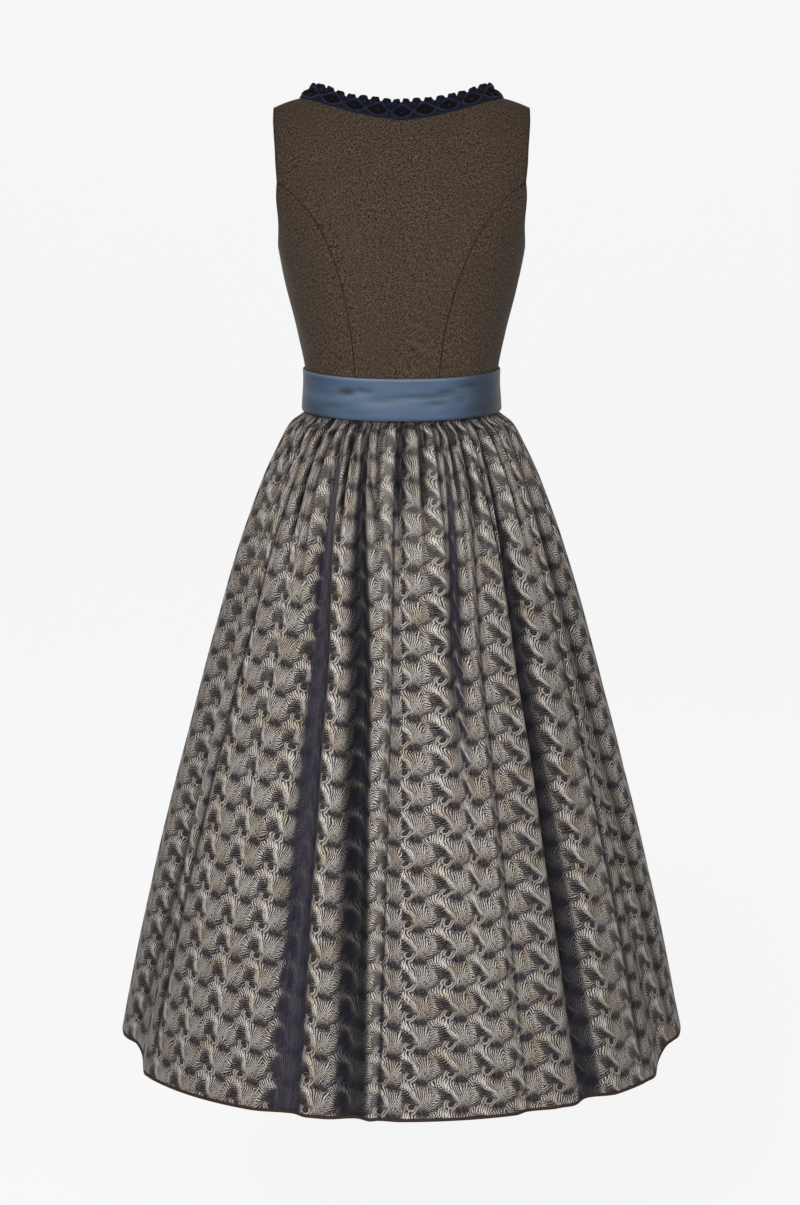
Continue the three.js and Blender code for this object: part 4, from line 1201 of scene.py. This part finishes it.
def on_panel(turn, down):
    place = panel_place(turn)
    tall = mix(0, 3.2, smooth(APRON_TOP, 423, down)) + mix(0, 5, smooth(423, APRON_HEM, down))
    wave = tall * (0.5 - 0.5 * np.cos(2 * math.pi * place)) ** 1.3 * uneven(np.round(place + 0.5))
    ridges, lasts = panel_gathers(place, down)
    fine = 1.1 * ridges * lasts * smooth(APRON_TOP, 396, down)
    return skirt_ring(turn, down, -PANEL_LIFT - wave - fine)


upper = np.linspace(APRON_TOP + SEAM_GAP, TUCKS_END, 26)
levels = np.concatenate([upper[:-1], np.linspace(TUCKS_END, APRON_HEM, 40)])
turn, down = np.meshgrid(np.linspace(PANEL_TURN, 360 - PANEL_TURN, 270), levels)
out = facing(on_panel, turn, down)
face = on_panel(turn, down)
place = panel_place(turn)
ridges, lasts = panel_gathers(place, down)
long_ridge = (0.5 - 0.5 * np.cos(2 * math.pi * place)) * uneven(np.round(place + 0.5))
# Painted shade in the long waves' valleys, between the fine gathers and under the waistband; painted
# highlights on their ridges
shade = np.clip(0.6 * (1 - long_ridge) ** 3 + 0.8 * (1 - ridges) ** 2 * lasts, 0, 1)
shade = np.maximum(shade, 0.5 * (1 - smooth(APRON_TOP, 392, down)))
glow = np.clip(0.5 * long_ridge**4 + 0.5 * ridges**3 * lasts, 0, 1) * (1 - shade)
made = cloth("satin_apron", face, out, SATIN_WALL, laid_flat(face), {"shade": shade, "glow": glow})
made.data.materials.append(satin)
finish_piece(made, ["apron_panel"])


def front_face(across, down):
    """How far the front of the tie stands forward."""
    turn = 180 - turn_at(across, down)
    return -on_trunk(turn, down)[..., 1] + TIE_FACE


def bow_piece(name, node, face, wall):
    """A loop or an end of the bow from a grid of where it lies, turned so that it faces forward."""
    if np.cross(face[0, 1] - face[0, 0], face[1, 0] - face[0, 0])[1] > 0:
        face = face[:, ::-1]
    out = np.broadcast_to(np.array([0.0, -1.0, 0.0]), face.shape)
    made = cloth(name, face, out, wall, laid_flat(face))
    made.data.materials.append(satin)
    finish_piece(made, [node])


for word, side in (("left", 1), ("right", -1)):
    long, wide = np.meshgrid(np.linspace(0, 1, 46), np.linspace(-1, 1, 30))
    across = LOOP["start"] + LOOP["long"] * long - 5 * wide**2 * long
    tall = mix(LOOP["narrow"], LOOP["wide"], np.sqrt(np.minimum(1, long * 1.4)))
    puff = LOOP["puff"] * np.sin(math.pi * np.minimum(1, long * 1.05)) * (1 - 0.6 * wide**2)
    pleat = 0.9 * np.cos(wide * 9) * (1 - smooth(0.1, 0.75, long))
    down = KNOT["down"] + LOOP["drop"] * long - tall * wide
    forward = front_face(across, down) + SEAM_GAP + long + LOOP["out"] + puff + pleat
    face = np.stack([side * across, -forward, -down - WAIST_DIP], -1)
    bow_piece(f"satin_loop_{word}", f"apron_bow_{word}", face, LOOP_WALL)
    long, wide = np.meshgrid(np.linspace(0, 1, 70), np.linspace(-1, 1, 24))
    down = mix(TAIL["top"], TAIL["bottom"], long)
    middle = mix(TAIL["start"], TAIL["start"] + TAIL["spread"], np.sqrt(long))
    across = middle + wide * mix(TAIL["narrow"], TAIL["wide"], np.sqrt(long))
    sway = 2 * np.sin(wide * 3 + long * 5) * smooth(0, 0.2, long)
    stands = mix(TAIL_OUT_AT_TOP, TAIL_OUT, smooth(0, 0.15, long)) + sway
    base = skirt_ring(np.full(down.shape, 180.0), down, -stands)
    level = base[..., 2] - 14 * wide * smooth(0.6, 1, long)
    face = np.stack([side * across, base[..., 1], level], -1)
    bow_piece(f"satin_tail_{word}", f"apron_tail_{word}", face, SATIN_WALL)

# The knot, wrapped cloth with creases drawn in towards both ends
azimuth, polar = np.meshgrid(np.linspace(0, 2 * math.pi, 73), np.linspace(0, math.pi, 41))
swell = 1 + 0.05 * np.sin(azimuth * 5 + polar * 2) * np.sin(polar) ** 2
x = KNOT["across"] * np.sin(polar) * np.cos(azimuth) * swell
y = KNOT["deep"] * np.sin(polar) * np.sin(azimuth) * swell
z = KNOT["tall"] * np.cos(polar)
tie_front = float(front_face(np.array(0.0), np.array(float(KNOT["down"]))))
centre = np.array([0, -tie_front - SEAM_GAP - KNOT["deep"], -KNOT["down"] - WAIST_DIP])
mesh = bpy.data.meshes.new("satin_knot")
points = (np.stack([x, y, z], -1).reshape(-1, 3) + centre) * MM
faces = [tuple(int(corner) for corner in quad) for quad in grid_faces(*x.shape, 0, True)]
mesh.from_pydata([tuple(p) for p in points], [], faces)
knot = bpy.data.objects.new("satin_knot", mesh)
bpy.context.scene.collection.objects.link(knot)
mesh.uv_layers.new(name="cloth")
knot.data.materials.append(satin)


def merged(made, distance=1e-6):
    """Joins the points that meet at the knot's seam and its ends."""
    work = bmesh.new()
    work.from_mesh(made.data)
    bmesh.ops.remove_doubles(work, verts=work.verts, dist=distance)
    bmesh.ops.dissolve_degenerate(work, edges=work.edges, dist=1e-8)
    bmesh.ops.recalc_face_normals(work, faces=work.faces)
    work.to_mesh(made.data)
    work.free()
    made.data.shade_smooth()
    return made


merged(knot)
finish_piece(knot, ["apron_bow_knot"])


# ------------------------------------------------------------------ narrow edging down the armholes
def edging_tree():
    """A round edging along an object's own line, by Geometry Nodes."""
    tree = bpy.data.node_groups.new("edging", "GeometryNodeTree")
    tree.interface.new_socket("Geometry", in_out="INPUT", socket_type="NodeSocketGeometry")
    radius = tree.interface.new_socket("Edging radius", in_out="INPUT", socket_type="NodeSocketFloat")
    tree.interface.new_socket("Geometry", in_out="OUTPUT", socket_type="NodeSocketGeometry")
    add = tree.nodes.new
    given, result = add("NodeGroupInput"), add("NodeGroupOutput")
    line, circle = add("GeometryNodeMeshToCurve"), add("GeometryNodeCurvePrimitiveCircle")
    tube, real = add("GeometryNodeCurveToMesh"), add("GeometryNodeRealizeInstances")
    paint = add("GeometryNodeSetMaterial")
    circle.inputs["Resolution"].default_value = 8
    tube.inputs["Fill Caps"].default_value = True
    paint.inputs["Material"].default_value = tape
    for start_socket, end_socket in (
        (given.outputs["Geometry"], line.inputs["Mesh"]),
        (given.outputs["Edging radius"], circle.inputs["Radius"]),
        (line.outputs["Curve"], tube.inputs["Curve"]),
        (circle.outputs["Curve"], tube.inputs["Profile Curve"]),
        (tube.outputs["Mesh"], real.inputs["Geometry"]),
        (real.outputs["Geometry"], paint.inputs["Geometry"]),
        (paint.outputs["Geometry"], result.inputs["Geometry"]),
    ):
        tree.links.new(start_socket, end_socket)
    return tree, radius.identifier


edging, edging_radius = edging_tree()


def armhole_line(side):
    """Once round the armhole, from the shoulder tip down the back, under the arm and up the front."""
    back_down = np.linspace(0, BACK_SEAM_TOP, 60)
    word = "left" if side > 0 else "right"
    back_turn = turn_at(straight(BACK_EDGE, BACK_COLUMNS, word, back_down), back_down)
    share = np.linspace(0, 1, 40)[1:]
    low_back = mix(math.sqrt(BACK_SEAM_TOP), math.sqrt(UNDERARM), np.sin(share * math.pi / 2)) ** 2
    low_back_turn = mix(back_turn[-1], 90, share)
    front_down = np.linspace(FRONT_SEAM_TOP, 0, 60)
    front_turn = 180 - turn_at(straight(FRONT_EDGE, FRONT_COLUMNS, "left", front_down), front_down)
    share = share[::-1][1:]
    low_front = mix(math.sqrt(FRONT_SEAM_TOP), math.sqrt(UNDERARM), np.sin(share * math.pi / 2)) ** 2
    low_front_turn = mix(front_turn[0], 90, share)
    turn = np.concatenate([back_turn, low_back_turn, low_front_turn, front_turn])
    down = np.concatenate([back_down, low_back, low_front, front_down])
    points = on_trunk(side * turn, down) - facing(on_trunk, side * turn, down) * 0.9
    return points * MM


for word, side in (("left", 1), ("right", -1)):
    points = armhole_line(side)
    mesh = bpy.data.meshes.new(f"armhole_edging_{word}")
    mesh.from_pydata([tuple(p) for p in points], [(k, k + 1) for k in range(len(points) - 1)], [])
    made = bpy.data.objects.new(f"armhole_edging_{word}", mesh)
    bpy.context.scene.collection.objects.link(made)
    plain_mesh(made, edging, {edging_radius: EDGING_RADIUS * MM})
    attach(made, "root")

# ------------------------------------------------------------------ stage, light and camera
scene = bpy.context.scene
scene.view_settings.view_transform = "Standard"


def stage_paper():
    """Pale paper that glows evenly behind the garment and less in front of it."""
    c = Cloth("pale paper")
    place = c.object_place()
    along = c.node("ShaderNodeSeparateXYZ", {}, {"Vector": place})["Y"]
    grain = c.noise(place, 3.0)
    color = c.blend(grain, (0.118, 0.118, 0.118), (0.122, 0.122, 0.122))
    glow = c.blend(along.ramp(-0.2, 2.2), (1.0, 1.0, 1.0), (0.8, 0.8, 0.8))
    values = {"Base Color": color, "Roughness": 1.0, "Emission Color": glow, "Emission Strength": 0.845}
    shader = c.node("ShaderNodeBsdfPrincipled", {}, values)["BSDF"]
    c.node("ShaderNodeOutputMaterial", {}, {"Surface": shader})
    return c.material


FLOOR_LEVEL = -1.62
PAPER = {"behind": 9.0, "ahead": -3.2, "bend": 2.2, "tall": 6.5, "half": 11.0}
bends = np.linspace(0, math.pi / 2, 24)[1:]
sweep = [(PAPER["behind"], 0.0), (PAPER["ahead"], 0.0)]
sweep += [(PAPER["ahead"] - PAPER["bend"] * math.sin(a), PAPER["bend"] * (1 - math.cos(a))) for a in bends]
sweep += [(PAPER["ahead"] - PAPER["bend"], PAPER["tall"])]
points = [(x, y, FLOOR_LEVEL + z) for y, z in sweep for x in (-PAPER["half"], PAPER["half"])]
faces = [(2 * k, 2 * k + 1, 2 * k + 3, 2 * k + 2) for k in range(len(sweep) - 1)]
mesh = bpy.data.meshes.new("floor")
mesh.from_pydata(points, [], faces)
floor = bpy.data.objects.new("floor", mesh)
bpy.context.scene.collection.objects.link(floor)
floor.data.shade_smooth()
floor.data.materials.append(stage_paper())

world = bpy.data.worlds.new("studio")
scene.world = world
world.use_nodes = True
world.node_tree.nodes["Background"].inputs["Color"].default_value = (1, 1, 1, 1)
world.node_tree.nodes["Background"].inputs["Strength"].default_value = 0.24


def soft_light(name, place, aim, wide, watts):
    """A round soft lamp that faces its aim."""
    lamp = bpy.data.lights.new(name, "AREA")
    lamp.shape, lamp.size, lamp.energy = "DISK", wide, watts
    made = bpy.data.objects.new(name, lamp)
    made.location = place
    way = np.array(aim, float) - np.array(place, float)
    lean = math.acos(-way[2] / np.linalg.norm(way))
    made.rotation_euler = (lean, 0, math.atan2(way[0], -way[1]) + math.pi)
    bpy.context.scene.collection.objects.link(made)


soft_light("key", (0.9, 3.5, 1.0), (0, 0, -0.6), 1.3, 105)
soft_light("fill", (-1.2, 3.3, 0.2), (0, 0, -0.7), 2.0, 25)

CAMERA_PLACE = (0.002, 3.5, 0.0)
CAMERA_TILT = 10.2
lens = bpy.data.cameras.new("camera")
lens.lens = 2800 / 1205 * 36
lens.sensor_width = 36
camera = bpy.data.objects.new("camera", lens)
camera.location = CAMERA_PLACE
camera.rotation_euler = (math.radians(90 - CAMERA_TILT), 0, math.pi)
bpy.context.scene.collection.objects.link(camera)
scene.camera = camera
